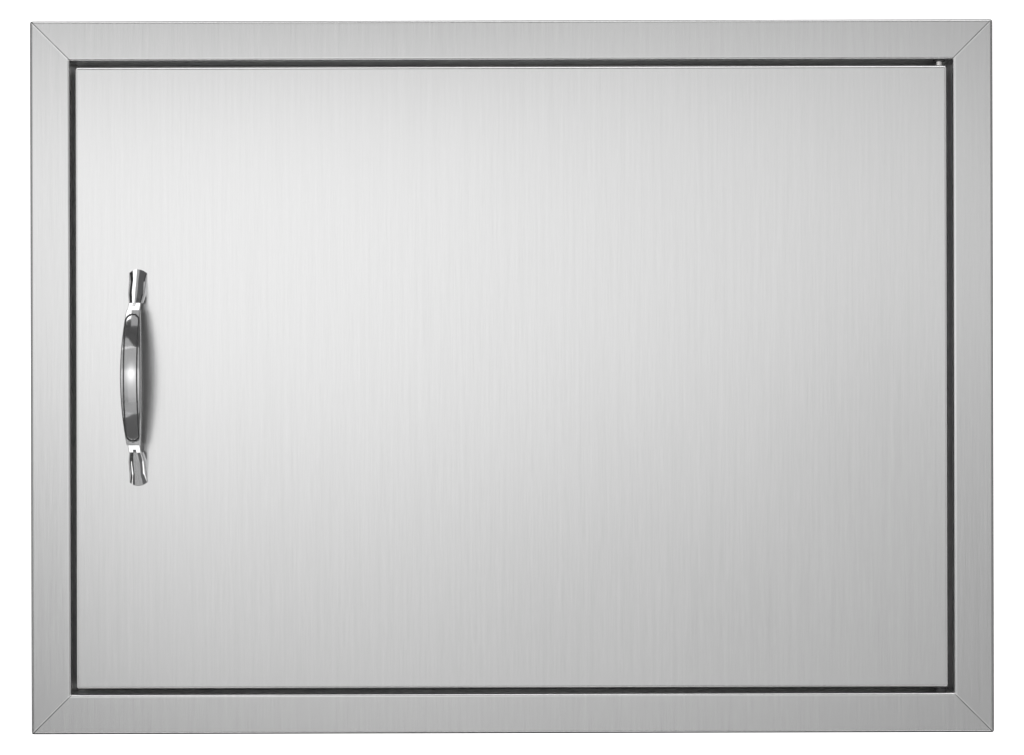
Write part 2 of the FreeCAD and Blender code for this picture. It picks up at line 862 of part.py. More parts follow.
def handle_screws():
    """Pan-head screws that reach from inside the tray into the handle's feet."""
    screws = []
    for z in handle_hole_heights():
        seat = Vector(handle_x, skin_y + washer_thickness, z)
        tip = Vector(handle_x, face_y - screw_engagement, z)
        way = Vector(0, 1, 0)
        head = domed_head(screw_head_radius, screw_head, seat, way)
        socket = rod(socket_radius, seat + way * socket_floor, seat + way * screw_head)
        screws.append(head.fuse(rod(screw_radius, tip, seat)).cut(socket))
    return Part.makeCompound(screws)


def catch_housing():
    """The catch's moulded case: an open-fronted box with two slotted ears, on the latch side's sleeve."""
    half = catch_height / 2
    low = Vector(latch_sleeve_x, catch_front, -half)
    high = Vector(latch_sleeve_x + catch_width, catch_front + catch_depth, half)
    corners = [
        Vector(low.x, low.y, low.z),
        Vector(high.x, low.y, low.z),
        Vector(high.x, high.y, low.z),
        Vector(low.x, high.y, low.z),
    ]
    case = prism(corners, [0, case_corner, case_corner, 0], Vector(0, 0, catch_height))
    ear_half = half + ear_length
    ears = [
        Vector(low.x, high.y - ear_depth, -ear_half),
        Vector(low.x, high.y, -ear_half),
        Vector(low.x, high.y, ear_half),
        Vector(low.x, high.y - ear_depth, ear_half),
    ]
    case = case.fuse(prism(ears, [ear_corner] * 4, Vector(ear_thickness, 0, 0)))
    pocket_half_x = magnet_width / 2 + pole_thickness + running_clearance
    pocket_half_z = magnet_height / 2 + running_clearance
    pocket = block(
        Vector(catch_x - pocket_half_x, catch_front - 1, -pocket_half_z),
        Vector(catch_x + pocket_half_x, pole_back() + running_clearance, pocket_half_z),
    )
    case = case.cut(pocket)
    reach = (catch_slot_length - 2 * catch_screw_radius) / 2
    for z in catch_screw_heights():
        centre = Vector(latch_sleeve_x, catch_screw_y(), z)
        across = Vector(ear_thickness, 0, 0)
        for y in (-reach, reach):
            start = centre + Vector(0, y, 0)
            case = case.cut(rod(catch_screw_radius + running_clearance, start, start + across))
        slot = block(
            centre - Vector(0, reach, catch_screw_radius + running_clearance),
            centre + Vector(ear_thickness, reach, catch_screw_radius + running_clearance),
        )
        case = case.cut(slot)
    return case.removeSplitter()


def pole_back():
    """The rear end of the pole plates and of the magnet."""
    return catch_front - pole_proud + pole_length


def catch_magnet():
    """The ferrite block between the two pole plates."""
    half = magnet_width / 2
    return block(
        Vector(catch_x - half, catch_front - pole_proud + magnet_recess, -magnet_height / 2),
        Vector(catch_x + half, pole_back(), magnet_height / 2),
    )


def catch_pole_plates():
    """The two steel plates beside the magnet, whose front edges meet the strike."""
    plates = []
    for way in (-1, 1):
        near = way * magnet_width / 2
        far = way * (magnet_width / 2 + pole_thickness)
        left = catch_x + min(near, far)
        right = catch_x + max(near, far)
        half = magnet_height / 2
        corners = [
            Vector(left, catch_front - pole_proud, -half),
            Vector(left, pole_back(), -half),
            Vector(left, pole_back(), half),
            Vector(left, catch_front - pole_proud, half),
        ]
        plates.append(prism(corners, [pole_corner, 0, 0, pole_corner], Vector(right - left, 0, 0)))
    return Part.makeCompound(plates)


def catch_screws():
    """The two sheet-metal screws that hold the catch's ears to the sleeve."""
    screws = []
    for z in catch_screw_heights():
        seat = Vector(latch_sleeve_x + ear_thickness, catch_screw_y(), z)
        way = Vector(1, 0, 0)
        tip = seat - way * catch_screw_length
        shank = rod(catch_screw_radius, tip + way * catch_screw_radius, seat)
        point = Part.makeCone(catch_screw_point, catch_screw_radius, catch_screw_radius, tip, way)
        head = domed_head(catch_screw_head_radius, catch_screw_head, seat, way)
        screws.append(shank.fuse([point, head]))
    return Part.makeCompound(screws)


def rivet_heights():
    """Heights of the strike's rivets."""
    return (-rivet_spacing / 2, rivet_spacing / 2)


def strike_plate():
    """The plain steel plate on the latch side's hem, which the magnet holds."""
    half_x = strike_width / 2
    half_z = strike_height / 2
    corners = [
        Vector(catch_x - half_x, door_back, -half_z),
        Vector(catch_x + half_x, door_back, -half_z),
        Vector(catch_x + half_x, door_back, half_z),
        Vector(catch_x - half_x, door_back, half_z),
    ]
    plate = prism(corners, [strike_corner] * 4, Vector(0, strike_sheet, 0))
    for z in rivet_heights():
        centre = Vector(catch_x, door_back, z)
        plate = plate.cut(rod(rivet_hole, centre, centre + Vector(0, strike_sheet, 0)))
    return plate


def strike_rivets():
    """Blind rivets through the strike and the hem, with a domed head and a squeezed tail."""
    rivets = []
    way = Vector(0, 1, 0)
    for z in rivet_heights():
        seat = Vector(catch_x, strike_back, z)
        inner = Vector(catch_x, door_back - door_sheet, z)
        tail = rod(rivet_tail_radius, inner - way * rivet_radius, inner)
        shank = rod(rivet_radius, inner, seat)
        rivets.append(domed_head(rivet_head_radius, rivet_head, seat, way).fuse([shank, tail]))
    return Part.makeCompound(rivets)


def stop_bumpers():
    """Four rubber buttons on the stop: two on the latch side, and one each at the top and the bottom."""
    inset = stop_width - outside_bend - bumper_radius
    places = [(-opening_half_x + inset, z) for z in (-bumper_spacing / 2, bumper_spacing / 2)]
    places += [(bumper_offset_x, way * (opening_half_z - inset)) for way in (-1, 1)]
    height = stop_gap - seat_clearance
    bumpers = []
    for x, z in places:
        base = Vector(x, stop_y, z)
        way = Vector(0, -1, 0)
        low = rod(bumper_radius, base, base + way * height / 2)
        crown = Part.makeCone(bumper_radius, bumper_tip_radius, height / 2, base + way * height / 2, way)
        bumpers.append(low.fuse(crown))
    return Part.makeCompound(bumpers)


nodes = {
    "frame_latch_stile": latch_stile,
    "frame_hinge_stile": lambda: stile(RIGHT),
    "frame_top_rail": top_rail,
    "frame_bottom_rail": bottom_rail,
    "top_pivot_bush": top_pivot_bush,
    "bottom_pivot_pin": bottom_pivot_pin,
    "bottom_pivot_washer": bottom_pivot_washer,
    "catch_housing": catch_housing,
    "catch_magnet": catch_magnet,
    "catch_pole_plates": catch_pole_plates,
    "catch_screws": catch_screws,
    "stop_bumpers": stop_bumpers,
    "door_panel": door_panel,
    "door_stiffeners": door_stiffeners,
    "handle": handle,
    "handle_washers": handle_washers,
    "handle_screws": handle_screws,
    "top_pivot_bracket": top_pivot_bracket,
    "bottom_pivot_bracket": bottom_pivot_bracket,
    "bottom_pivot_bush": bottom_pivot_bush,
    "strike_plate": strike_plate,
    "strike_rivets": strike_rivets,
    "pivot_bolt": pivot_bolt,
    "bolt_clip": bolt_clip,
    "pivot_spring": pivot_spring,
}

os.makedirs("parts", exist_ok=True)
for name, make in nodes.items():
    shape = make()
    solids = len(shape.Solids)
    print(f"{name}: {solids} solids, valid {shape.isValid()}, volume {shape.Volume:.0f}")
    shape.exportStep(f"parts/{name}.step")
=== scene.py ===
import math

import bpy
import numpy as np
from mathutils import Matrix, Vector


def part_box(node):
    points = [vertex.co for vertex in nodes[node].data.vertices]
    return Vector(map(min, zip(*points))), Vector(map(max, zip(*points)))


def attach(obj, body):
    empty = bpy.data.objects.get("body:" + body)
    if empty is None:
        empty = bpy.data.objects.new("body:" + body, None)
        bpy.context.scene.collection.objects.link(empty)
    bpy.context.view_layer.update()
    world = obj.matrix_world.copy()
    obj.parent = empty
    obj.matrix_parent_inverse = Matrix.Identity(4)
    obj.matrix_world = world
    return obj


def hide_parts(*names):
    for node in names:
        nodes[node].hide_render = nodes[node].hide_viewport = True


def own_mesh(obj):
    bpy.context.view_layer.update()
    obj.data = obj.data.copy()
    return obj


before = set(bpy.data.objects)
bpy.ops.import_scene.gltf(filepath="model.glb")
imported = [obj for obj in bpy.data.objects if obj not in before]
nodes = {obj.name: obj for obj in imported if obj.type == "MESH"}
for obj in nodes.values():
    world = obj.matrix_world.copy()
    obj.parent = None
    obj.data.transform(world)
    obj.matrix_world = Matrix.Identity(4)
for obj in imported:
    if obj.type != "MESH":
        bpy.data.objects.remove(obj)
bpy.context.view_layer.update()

# The trim frame
# Four strips of 1 mm stainless sheet, each folded into lip, face, jamb, stop and sleeve.
# The corners are cut at 45 degrees, welded from behind and brushed over with the upright grain.

FRAME_SIDES = ("frame_latch_stile", "frame_hinge_stile", "frame_top_rail", "frame_bottom_rail")
trim_low, trim_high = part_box("frame_top_rail")
frame_half_width = trim_high.x
frame_half_height = trim_high.z


def number_socket(group, name, way, value=0.0):
    """One socket of a shader group: a number that goes in or comes out."""
    made = group.interface.new_socket(name=name, in_out=way, socket_type="NodeSocketFloat")
    if way == "INPUT":
        made.default_value = value


def place_socket(group):
    """The input through which a shader group is told where on the object it is."""
    group.interface.new_socket(name="Place", in_out="INPUT", socket_type="NodeSocketVector")


def sums(tree, operation, first, second, third=None):
    """A node of arithmetic. Each operand is a number or the output of another node."""
    node = tree.nodes.new("ShaderNodeMath")
    node.operation = operation
    for index, operand in enumerate((first, second, third)):
        if operand is None:
            continue
        if isinstance(operand, (int, float)):
            node.inputs[index].default_value = operand
        else:
            tree.links.new(operand, node.inputs[index])
    return node.outputs[0]


def graded(tree, value, share, floor):
    """The value times a share, on top of a floor."""
    return sums(tree, "MULTIPLY_ADD", value, share, floor)


def product(tree, first, *others):
    """The factors multiplied together."""
    for other in others:
        first = sums(tree, "MULTIPLY", first, other)
    return first


def eased(tree, value, start, end):
    """Nought before start, one after end, and a smooth climb between them."""
    node = tree.nodes.new("ShaderNodeMapRange")
    node.interpolation_type = "SMOOTHSTEP"
    node.inputs["From Min"].default_value = start
    node.inputs["From Max"].default_value = end
    tree.links.new(value, node.inputs["Value"])
    return node.outputs["Result"]


def parts_of(tree, place):
    """The outputs X, Y and Z of a place."""
    parts = tree.nodes.new("ShaderNodeSeparateXYZ")
    tree.links.new(place, parts.inputs["Vector"])
    return parts.outputs


def mottle(tree, place, density, detail=2.0, roughness=0.5):
    """Noise whose cells are counted per metre along each axis, from nought to one."""
    scaled = tree.nodes.new("ShaderNodeMapping")
    scaled.inputs["Scale"].default_value = density
    tree.links.new(place, scaled.inputs["Vector"])
    noise = tree.nodes.new("ShaderNodeTexNoise")
    noise.inputs["Scale"].default_value = 1.0
    noise.inputs["Detail"].default_value = detail
    noise.inputs["Roughness"].default_value = roughness
    tree.links.new(scaled.outputs["Vector"], noise.inputs["Vector"])
    return noise.outputs["Fac"]


HAIR_CELLS = (1900.0, 1900.0, 42.0)
STROKE_CELLS = (420.0, 420.0, 9.0)
CLOUD_CELLS = (9.0, 9.0, 5.0)


def upright_grain_group():
    """Brushed grain: hairlines half a millimetre wide and some 20 mm long, broader strokes, slow clouds."""
    group = bpy.data.node_groups.new("upright_grain", "ShaderNodeTree")
    place_socket(group)
    for name in ("Hair", "Stroke", "Cloud"):
        number_socket(group, name, "INPUT", 0.02)
    for name in ("Tone", "Relief"):
        number_socket(group, name, "OUTPUT")
    given = group.nodes.new("NodeGroupInput")
    made = group.nodes.new("NodeGroupOutput")
    place = given.outputs["Place"]
    hair = sums(group, "SUBTRACT", mottle(group, place, HAIR_CELLS, 2.0, 0.6), 0.5)
    stroke = sums(group, "SUBTRACT", mottle(group, place, STROKE_CELLS, 3.0, 0.55), 0.5)
    cloud = sums(group, "SUBTRACT", mottle(group, place, CLOUD_CELLS, 2.0), 0.5)
    tone = graded(group, hair, given.outputs["Hair"], 1.0)
    tone = graded(group, stroke, given.outputs["Stroke"], tone)
    tone = graded(group, cloud, given.outputs["Cloud"], tone)
    group.links.new(tone, made.inputs["Tone"])
    group.links.new(graded(group, stroke, 0.4, hair), made.inputs["Relief"])
    return group


upright_grain = upright_grain_group()

SEAM_EDGE = (0.0006, 0.00015)
# The lip beside the seam is a painted highlight: its soft edges, and its offset from the seam.
LIP_EDGE = (0.0008, 0.0002)
LIP_OFFSET = 0.0011


def mitre_seam_group():
    """The welded corner joint: the distance from the 45 degree line gives a dark hairline, and beside it a
    bright lip that is a painted highlight.

    The line is uneven, as the weld is ground and brushed by hand."""
    group = bpy.data.node_groups.new("mitre_seam", "ShaderNodeTree")
    place_socket(group)
    number_socket(group, "Corner", "INPUT", 0.09)
    for name in ("Seam", "LipHighlight"):
        number_socket(group, name, "OUTPUT")
    given = group.nodes.new("NodeGroupInput")
    made = group.nodes.new("NodeGroupOutput")
    place = given.outputs["Place"]
    parts = parts_of(group, place)
    across = sums(group, "ABSOLUTE", parts["X"], 0.0)
    up = sums(group, "ABSOLUTE", parts["Z"], 0.0)
    off = sums(group, "SUBTRACT", sums(group, "SUBTRACT", across, up), given.outputs["Corner"])
    worn = eased(group, mottle(group, place, (60.0, 60.0, 60.0)), 0.25, 0.6)
    line = eased(group, sums(group, "ABSOLUTE", off, 0.0), *SEAM_EDGE)
    beside = sums(group, "ABSOLUTE", sums(group, "SUBTRACT", off, LIP_OFFSET), 0.0)
    lip = eased(group, beside, *LIP_EDGE)
    group.links.new(product(group, line, worn), made.inputs["Seam"])
    group.links.new(product(group, lip, worn), made.inputs["LipHighlight"])
    return group


def bare_finish(name, colour, metallic, roughness):
    """A material with one Principled shader, and the Object coordinates that its patterns read."""
    material = bpy.data.materials.new(name)
    material.use_nodes = True
    tree = material.node_tree
    shader = tree.nodes["Principled BSDF"]
    shader.inputs["Base Color"].default_value = (*colour, 1.0)
    shader.inputs["Metallic"].default_value = metallic
    shader.inputs["Roughness"].default_value = roughness
    place = tree.nodes.new("ShaderNodeTexCoord").outputs["Object"]
    return material, tree, shader, place


def tinted(tree, colour, tone, target):
    """The colour, scaled by a tone that varies over the surface, into a colour socket."""
    scaled = tree.nodes.new("ShaderNodeVectorMath")
    scaled.operation = "SCALE"
    scaled.inputs[0].default_value = colour
    tree.links.new(tone, scaled.inputs["Scale"])
    tree.links.new(scaled.outputs[0], target)


def raised(tree, shader, height, distance, strength=1.0):
    """Relief as a bump of this height in metres."""
    bump = tree.nodes.new("ShaderNodeBump")
    bump.inputs["Distance"].default_value = distance
    bump.inputs["Strength"].default_value = strength
    tree.links.new(height, bump.inputs["Height"])
    tree.links.new(bump.outputs["Normal"], shader.inputs["Normal"])


def varied(tree, shader, colour, pattern, tone, rough=None):
    """Let a pattern vary the tone and, where told, the roughness: each by a share of it, on a floor."""
    tinted(tree, colour, graded(tree, pattern, *tone), shader.inputs["Base Color"])
    if rough:
        tree.links.new(graded(tree, pattern, *rough), shader.inputs["Roughness"])


SKIN_BEGINS = 0.0040
SKIN_WHOLE = 0.0075


def unbrushed(tree, place):
    """Nought on the brushed front and its bends, one where the mill's skin is.

    The skin begins 4 mm behind the front and is whole at 7.5 mm, and on every face that looks backwards.
    The same mask darkens the tone, partly for the skin and partly as painted shade in the gaps."""
    depth = parts_of(tree, place)["Y"]
    deep = eased(tree, depth, trim_low.y + SKIN_BEGINS, trim_low.y + SKIN_WHOLE)
    looks = parts_of(tree, tree.nodes["Texture Coordinate"].outputs["Normal"])
    return sums(tree, "MAXIMUM", deep, eased(tree, looks["Y"], 0.0, 0.3))


FOLD_FADES = 0.0018
FOLD_WHOLE = 0.0010
HIGH_FOLD_SHIFT = 0.0003
FOLD_DEPTH_WHOLE = 0.0020
FOLD_DEPTH_ENDS = 0.0030


def painted_fold_shade(tree, place, half_width, low_edge, high_edge):
    """Where painted shade darkens a fold: one on the steep of a fold at the sides and at the low and high
    edges given, nought elsewhere.

    The line is whole over 1 mm from the edge and fades out at 1.8 mm. At the high edge both are 0.3 mm
    less. It fades between 2 and 3 mm behind the front."""
    parts = parts_of(tree, place)
    beside = sums(tree, "SUBTRACT", sums(tree, "ABSOLUTE", parts["X"], 0.0), half_width)
    under = graded(tree, parts["Z"], -1.0, low_edge)
    over = sums(tree, "SUBTRACT", parts["Z"], high_edge + HIGH_FOLD_SHIFT)
    nearest = sums(tree, "MAXIMUM", sums(tree, "MAXIMUM", beside, under), over)
    near = eased(tree, nearest, -FOLD_FADES, -FOLD_WHOLE)
    shallow = eased(tree, parts["Y"], trim_low.y + FOLD_DEPTH_ENDS, trim_low.y + FOLD_DEPTH_WHOLE)
    return product(tree, near, shallow)


def group_outputs(tree, group, place, **values):
    """The outputs of a shader group that is told its place and its other values."""
    node = tree.nodes.new("ShaderNodeGroup")
    node.node_tree = group
    tree.links.new(place, node.inputs["Place"])
    for name, value in values.items():
        node.inputs[name].default_value = value
    return node.outputs


# Tone changes: the lip's gain is a painted highlight, the fold loss is painted shade, and the skin loss is
# partly the skin's own and partly painted shade in the gaps.
STROKE_SHARE = 0.7
LIP_HIGHLIGHT_GAIN = 0.22
SEAM_LOSS = -0.75
FOLD_SHADE_LOSS = -0.47
SKIN_AND_GAP_SHADE_LOSS = -0.16
SKIN_ROUGHER = 0.16


def brushed_steel(name, colour, roughness, hair, fold, corner=None):
    """Stainless sheet with the upright grain, and with the corner seams where a piece has them.

    The grain spreads a reflection sideways more than up and down, which is what the anisotropy says.
    Only the front is brushed: the inner side and what is folded back keep the mill's duller skin, whose
    darker tone is partly its own and partly painted shade in the gaps. The steep of the folds that are
    given is darkened as painted shade."""
    material, tree, shader, place = bare_finish(name, colour, 1.0, roughness)
    shader.inputs["Anisotropic"].default_value = 0.3
    grain = group_outputs(tree, upright_grain, place, Hair=hair, Stroke=hair * STROKE_SHARE, Cloud=0.03)
    tone = grain["Tone"]
    if corner is not None:
        seam = group_outputs(tree, mitre_seam, place, Corner=corner)
        # Painted highlight along the lip beside each corner seam.
        tone = graded(tree, seam["LipHighlight"], LIP_HIGHLIGHT_GAIN, tone)
        tone = graded(tree, seam["Seam"], SEAM_LOSS, tone)
    # Painted shade on the steep of the folds.
    tone = graded(tree, painted_fold_shade(tree, place, *fold), FOLD_SHADE_LOSS, tone)
    mill = unbrushed(tree, place)
    # The skin's darker tone is partly its own and partly painted shade in the gaps between door and frame.
    tone = product(tree, tone, graded(tree, mill, SKIN_AND_GAP_SHADE_LOSS, 1.0))
    tinted(tree, colour, tone, shader.inputs["Base Color"])
    rough = graded(tree, grain["Relief"], 0.12, roughness)
    tree.links.new(graded(tree, mill, SKIN_ROUGHER, rough), shader.inputs["Roughness"])
    raised(tree, shader, grain["Relief"], 0.00002, 0.6)
    return material


mitre_seam = mitre_seam_group()
trim_shaded_folds = (frame_half_width, -frame_half_height, frame_half_height)
trim_steel = brushed_steel("trim_steel", (0.69, 0.69, 0.69), roughness=0.22, hair=0.17, fold=trim_shaded_folds,
                           corner=frame_half_width - frame_half_height)


def finish_node(name, material):
    """Give a CAD node its finish, in the material slots that it already has."""
    for slot in nodes[name].material_slots:
        slot.material = material


for side in FRAME_SIDES:
    finish_node(side, trim_steel)


def closed_rings(name, pieces):
    """Closed surfaces. Each piece is an array of rings of points: stations by points by three.

    Neighbouring rings are joined by quads, and each end is closed by quads between its two sides."""
    points = []
    faces = []
    start = 0
    for rings in pieces:
        stations, count, _ = rings.shape
        grid = start + np.arange(stations * count).reshape(stations, count)
        here = grid[:-1]
        beyond = grid[1:]
        walls = np.stack([here, np.roll(here, -1, 1), np.roll(beyond, -1, 1), beyond], -1)
        faces.append(walls.reshape(-1, 4))
        near = np.arange(count // 2 - 1)
        far = count - 1 - near
        for ring, turned in ((grid[0], True), (grid[-1], False)):
            cap = np.stack([ring[near], ring[near + 1], ring[far - 1], ring[far]], -1)
            faces.append(cap[:, ::-1] if turned else cap)
        points.append(rings.reshape(-1, 3))
        start += stations * count
    mesh = bpy.data.meshes.new(name)
    mesh.from_pydata(np.concatenate(points).tolist(), [], np.concatenate(faces).tolist())
    mesh.update()
    return mesh


SHARP_FROM = math.radians(34)


def fitted(name, pieces, material, body, replaced=()):
    """A new piece through rings of points, smooth but for its edges, that rides on its body."""
    mesh = closed_rings(name, pieces)
    mesh.polygons.foreach_set("use_smooth", np.ones(len(mesh.polygons), bool))
    mesh.set_sharp_from_angle(angle=SHARP_FROM)
    mesh.materials.append(material)
    made = bpy.data.objects.new(name, mesh)
    bpy.context.scene.collection.objects.link(made)
    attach(made, body)
    if replaced:
        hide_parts(*replaced)
    return made


def weld_metal():
    """Weld metal: bright steel with clouds of straw and blue where it cooled slowly."""
    material, tree, shader, place = bare_finish("weld_metal", (0.5, 0.47, 0.42), 1.0, 0.42)
    tint = tree.nodes.new("ShaderNodeValToRGB")
    tint.color_ramp.elements[0].position = 0.35
    tint.color_ramp.elements[0].color = (0.26, 0.28, 0.36, 1.0)
    tint.color_ramp.elements[1].position = 0.65
    tint.color_ramp.elements[1].color = (0.56, 0.47, 0.33, 1.0)
    tint.color_ramp.elements.new(0.5).color = (0.50, 0.50, 0.49, 1.0)
    clouds = mottle(tree, place, (240.0, 240.0, 240.0), 2.0)
    tree.links.new(clouds, tint.inputs["Fac"])
    tree.links.new(tint.outputs["Color"], shader.inputs["Base Color"])
    tree.links.new(graded(tree, clouds, 0.3, 0.25), shader.inputs["Roughness"])
    return material


FRAME_SHEET = 0.001
WELD_HALF = 0.0016
WELD_HEIGHT = 0.0008
WELD_RIPPLE = 0.0011
WELD_INNER = 0.2275
WELD_OUTER = 0.2515
WELD_SWELL = 0.13
WELD_STATIONS = 91
WELD_SIDES = 20


def corner_weld(across, up):
    """A bead along one mitre, on the inner side of the face, between two heights above or below the middle.

    Its section is an ellipse that swells and shrinks once a ripple, and tapers at both ends."""
    share = np.linspace(0.0, 1.0, WELD_STATIONS)
    out = WELD_INNER + (WELD_OUTER - WELD_INNER) * share
    inside = np.full_like(out, trim_low.y + FRAME_SHEET)
    line = np.stack([across * (out + frame_half_width - frame_half_height), inside, up * out], -1)
    along = np.array([across, 0.0, up]) / math.sqrt(2)
    inwards = np.array([0.0, 1.0, 0.0])
    beside = np.cross(inwards, along)
    length = (WELD_OUTER - WELD_INNER) * math.sqrt(2)
    swell = 1 + WELD_SWELL * np.cos(2 * np.pi * share * length / WELD_RIPPLE)
    taper = np.sqrt(1 - (2 * share - 1) ** 12 * 0.96)
    around = np.linspace(0.0, 2 * np.pi, WELD_SIDES, endpoint=False)[None, :, None]
    section = WELD_HALF * np.cos(around) * beside + WELD_HEIGHT * np.sin(around) * inwards
    return line[:, None] + (swell * taper)[:, None, None] * section


weld_steel = weld_metal()
corner_welds = [corner_weld(across, up) for across in (-1, 1) for up in (-1, 1)]
fitted("corner_weld_beads", corner_welds, weld_steel, "frame")

# The pivots in the frame
# A flanged nylon bush is pushed up through the top jamb, and a turned steel pin stands in the bottom
# one with its head below it. A nylon washer on the pin carries the door.


def moulded_nylon():
    """Black nylon: a dull plastic with a faint sheen and flow marks from its mould."""
    colour = (0.040, 0.040, 0.041)
    material, tree, shader, place = bare_finish("moulded_nylon", colour, 0.0, 0.42)
    flow = mottle(tree, place, (700.0, 700.0, 260.0), 3.0)
    varied(tree, shader, colour, flow, tone=(0.5, 0.75), rough=(0.2, 0.32))
    raised(tree, shader, flow, 0.00003)
    return material


def turned_steel():
    """Turned bright steel: fine rings round the pin, which show as bands across its height."""
    colour = (0.72, 0.71, 0.70)
    material, tree, shader, place = bare_finish("turned_steel", colour, 1.0, 0.24)
    rings = mottle(tree, place, (40.0, 40.0, 9000.0), 2.0)
    varied(tree, shader, colour, rings, tone=(0.22, 0.88), rough=(0.2, 0.14))
    raised(tree, shader, rings, 0.00001)
    return material


nylon = moulded_nylon()
bright_pin = turned_steel()
for name in ("top_pivot_bush", "bottom_pivot_washer"):
    finish_node(name, nylon)
finish_node("bottom_pivot_pin", bright_pin)

# The magnetic catch
# A black moulded case on the latch side's sleeve, held by two zinc-plated screws. A ferrite block
# lies in it between two steel plates, whose front edges meet the strike on the door.


def moulded_black():
    """Black moulded plastic with a fine spark-eroded texture."""
    colour = (0.028, 0.028, 0.030)
    material, tree, shader, place = bare_finish("moulded_black", colour, 0.0, 0.48)
    grit = mottle(tree, place, (2600.0, 2600.0, 2600.0), 2.0)
    varied(tree, shader, colour, grit, tone=(0.5, 0.75), rough=(0.24, 0.36))
    raised(tree, shader, grit, 0.00004)
    return material


def ground_ferrite():
    """Ground ferrite: a dull dark ceramic with pits and crossing grinding marks."""
    colour = (0.075, 0.074, 0.078)
    material, tree, shader, place = bare_finish("ground_ferrite", colour, 0.15, 0.55)
    pits = mottle(tree, place, (1500.0, 1500.0, 1500.0), 4.0, 0.7)
    marks = mottle(tree, place, (3000.0, 3000.0, 90.0), 1.0)
    both = graded(tree, marks, 0.5, pits)
    varied(tree, shader, colour, both, tone=(0.6, 0.6))
    raised(tree, shader, both, 0.00003)
    return material


def zinc_plated():
    """Zinc plate on steel: a blue-grey skin with slow clouds and small bright spangles."""
    colour = (0.60, 0.62, 0.65)
    material, tree, shader, place = bare_finish("zinc_plated", colour, 1.0, 0.34)
    clouds = mottle(tree, place, (150.0, 150.0, 150.0), 3.0)
    spangle = mottle(tree, place, (1400.0, 1400.0, 1400.0), 1.0)
    both = graded(tree, spangle, 0.4, clouds)
    varied(tree, shader, colour, both, tone=(0.3, 0.8), rough=(0.2, 0.22))
    raised(tree, shader, spangle, 0.00001)
    return material


SCREW_SIDES = 72
DOME_RINGS = 42
DOME_CENTRE = 0.00003
RIM_SHARE = 0.7
RECESS_SHARE = 0.52
RECESS_DEPTH_SHARE = 0.55
RECESS_HALF_WIDTH = 0.00042
RECESS_WALL = 0.00014
RINGS_A_PITCH = 8
THREAD_SHARE = 0.45


def cross_head_screw(seat, sides, head, shank, turn):
    """A screw as rings of points from the crown of its head to its tip.

    The head is a low dome on an upright rim, with a cross-shaped pit whose walls slope. The shank's
    radius falls and climbs once a pitch along it, a whole pitch later after one turn round it."""
    head_radius, head_height = head
    radius, length, pitch = shank
    angle = np.linspace(0.0, 2 * np.pi, SCREW_SIDES, endpoint=False)
    dome = np.linspace(DOME_CENTRE, head_radius, DOME_RINGS)[:, None]
    first = np.abs(dome * np.cos(angle + turn))
    second = np.abs(dome * np.sin(angle + turn))
    inside = np.clip((RECESS_HALF_WIDTH - np.minimum(first, second)) / RECESS_WALL, 0.0, 1.0)
    reach = RECESS_SHARE * head_radius
    ending = np.clip((reach - np.maximum(first, second)) / (0.4 * reach), 0.0, 1.0)
    pit = RECESS_DEPTH_SHARE * head_height * inside * ending
    bulge = np.sqrt(1 - 0.98 * (dome / head_radius) ** 2)
    crown = head_height * (RIM_SHARE + (1 - RIM_SHARE) * bulge) - pit
    down = np.linspace(0.0, 1.0, int(length / pitch * RINGS_A_PITCH))[:, None]
    depth = -length * down
    thread = np.abs(2 * np.mod(depth / pitch + angle / (2 * np.pi), 1.0) - 1)
    point = np.sqrt(np.clip((1.001 - down) * length / radius, 0.0, 1.0))
    shank_radius = (radius - THREAD_SHARE * pitch * thread) * point
    rim = np.full((1, SCREW_SIDES), head_radius)
    level = np.zeros_like(rim)
    rise = np.concatenate([crown, level, level, np.broadcast_to(depth, shank_radius.shape)])
    away = np.concatenate([np.broadcast_to(dome, crown.shape), rim, level + radius, shank_radius])
    outwards = np.cos(angle)[:, None] * sides[0] + np.sin(angle)[:, None] * sides[1]
    head_way = np.cross(sides[1], sides[0])
    return seat + rise[..., None] * head_way + away[..., None] * outwards


def screw_pair(node, axis, sides, head, radius, pitch, turns):
    """Two screws, one above the other, in the box of a CAD node, with their heads towards its high end."""
    low, high = (np.array(corner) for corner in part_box(node))
    head_radius, head_height = head
    seat = (low + high) / 2
    seat[axis] = high[axis] - head_height
    shank = (radius, seat[axis] - low[axis], pitch)
    pair = []
    for height, turn in zip((low[2] + head_radius, high[2] - head_radius), turns):
        seat[2] = height
        pair.append(cross_head_screw(seat.copy(), np.array(sides), head, shank, turn))
    return pair


zinc = zinc_plated()
CATCH_SCREW_HEAD = (0.003, 0.0018)
catch_pair = screw_pair("catch_screws", 0, ((0.0, 1.0, 0.0), (0.0, 0.0, -1.0)), CATCH_SCREW_HEAD,
                        radius=0.0016, pitch=0.0012, turns=(0.2, 0.9))
finish_node("catch_housing", moulded_black())
finish_node("catch_magnet", ground_ferrite())
finish_node("catch_pole_plates", zinc)
fitted("catch_pan_screws", catch_pair, zinc, "frame", ["catch_screws"])

# The stop bumpers
# Four soft black rubber buttons stuck to the stop, against which the closed door's back rests.


def soft_rubber():
    """Black rubber with a dusty bloom on its dull skin."""
    colour = (0.030, 0.030, 0.031)
    material, tree, shader, place = bare_finish("soft_rubber", colour, 0.0, 0.72)
    bloom = mottle(tree, place, (420.0, 420.0, 420.0), 4.0)
    varied(tree, shader, colour, bloom, tone=(0.9, 0.6))
    raised(tree, shader, bloom, 0.00005)
    return material


finish_node("stop_bumpers", soft_rubber())

# The door's tray
# One stainless sheet folded into a skin, four sides and four hems. Its front is brushed upright,
# as the frame is, so that the grain runs on across the gap.

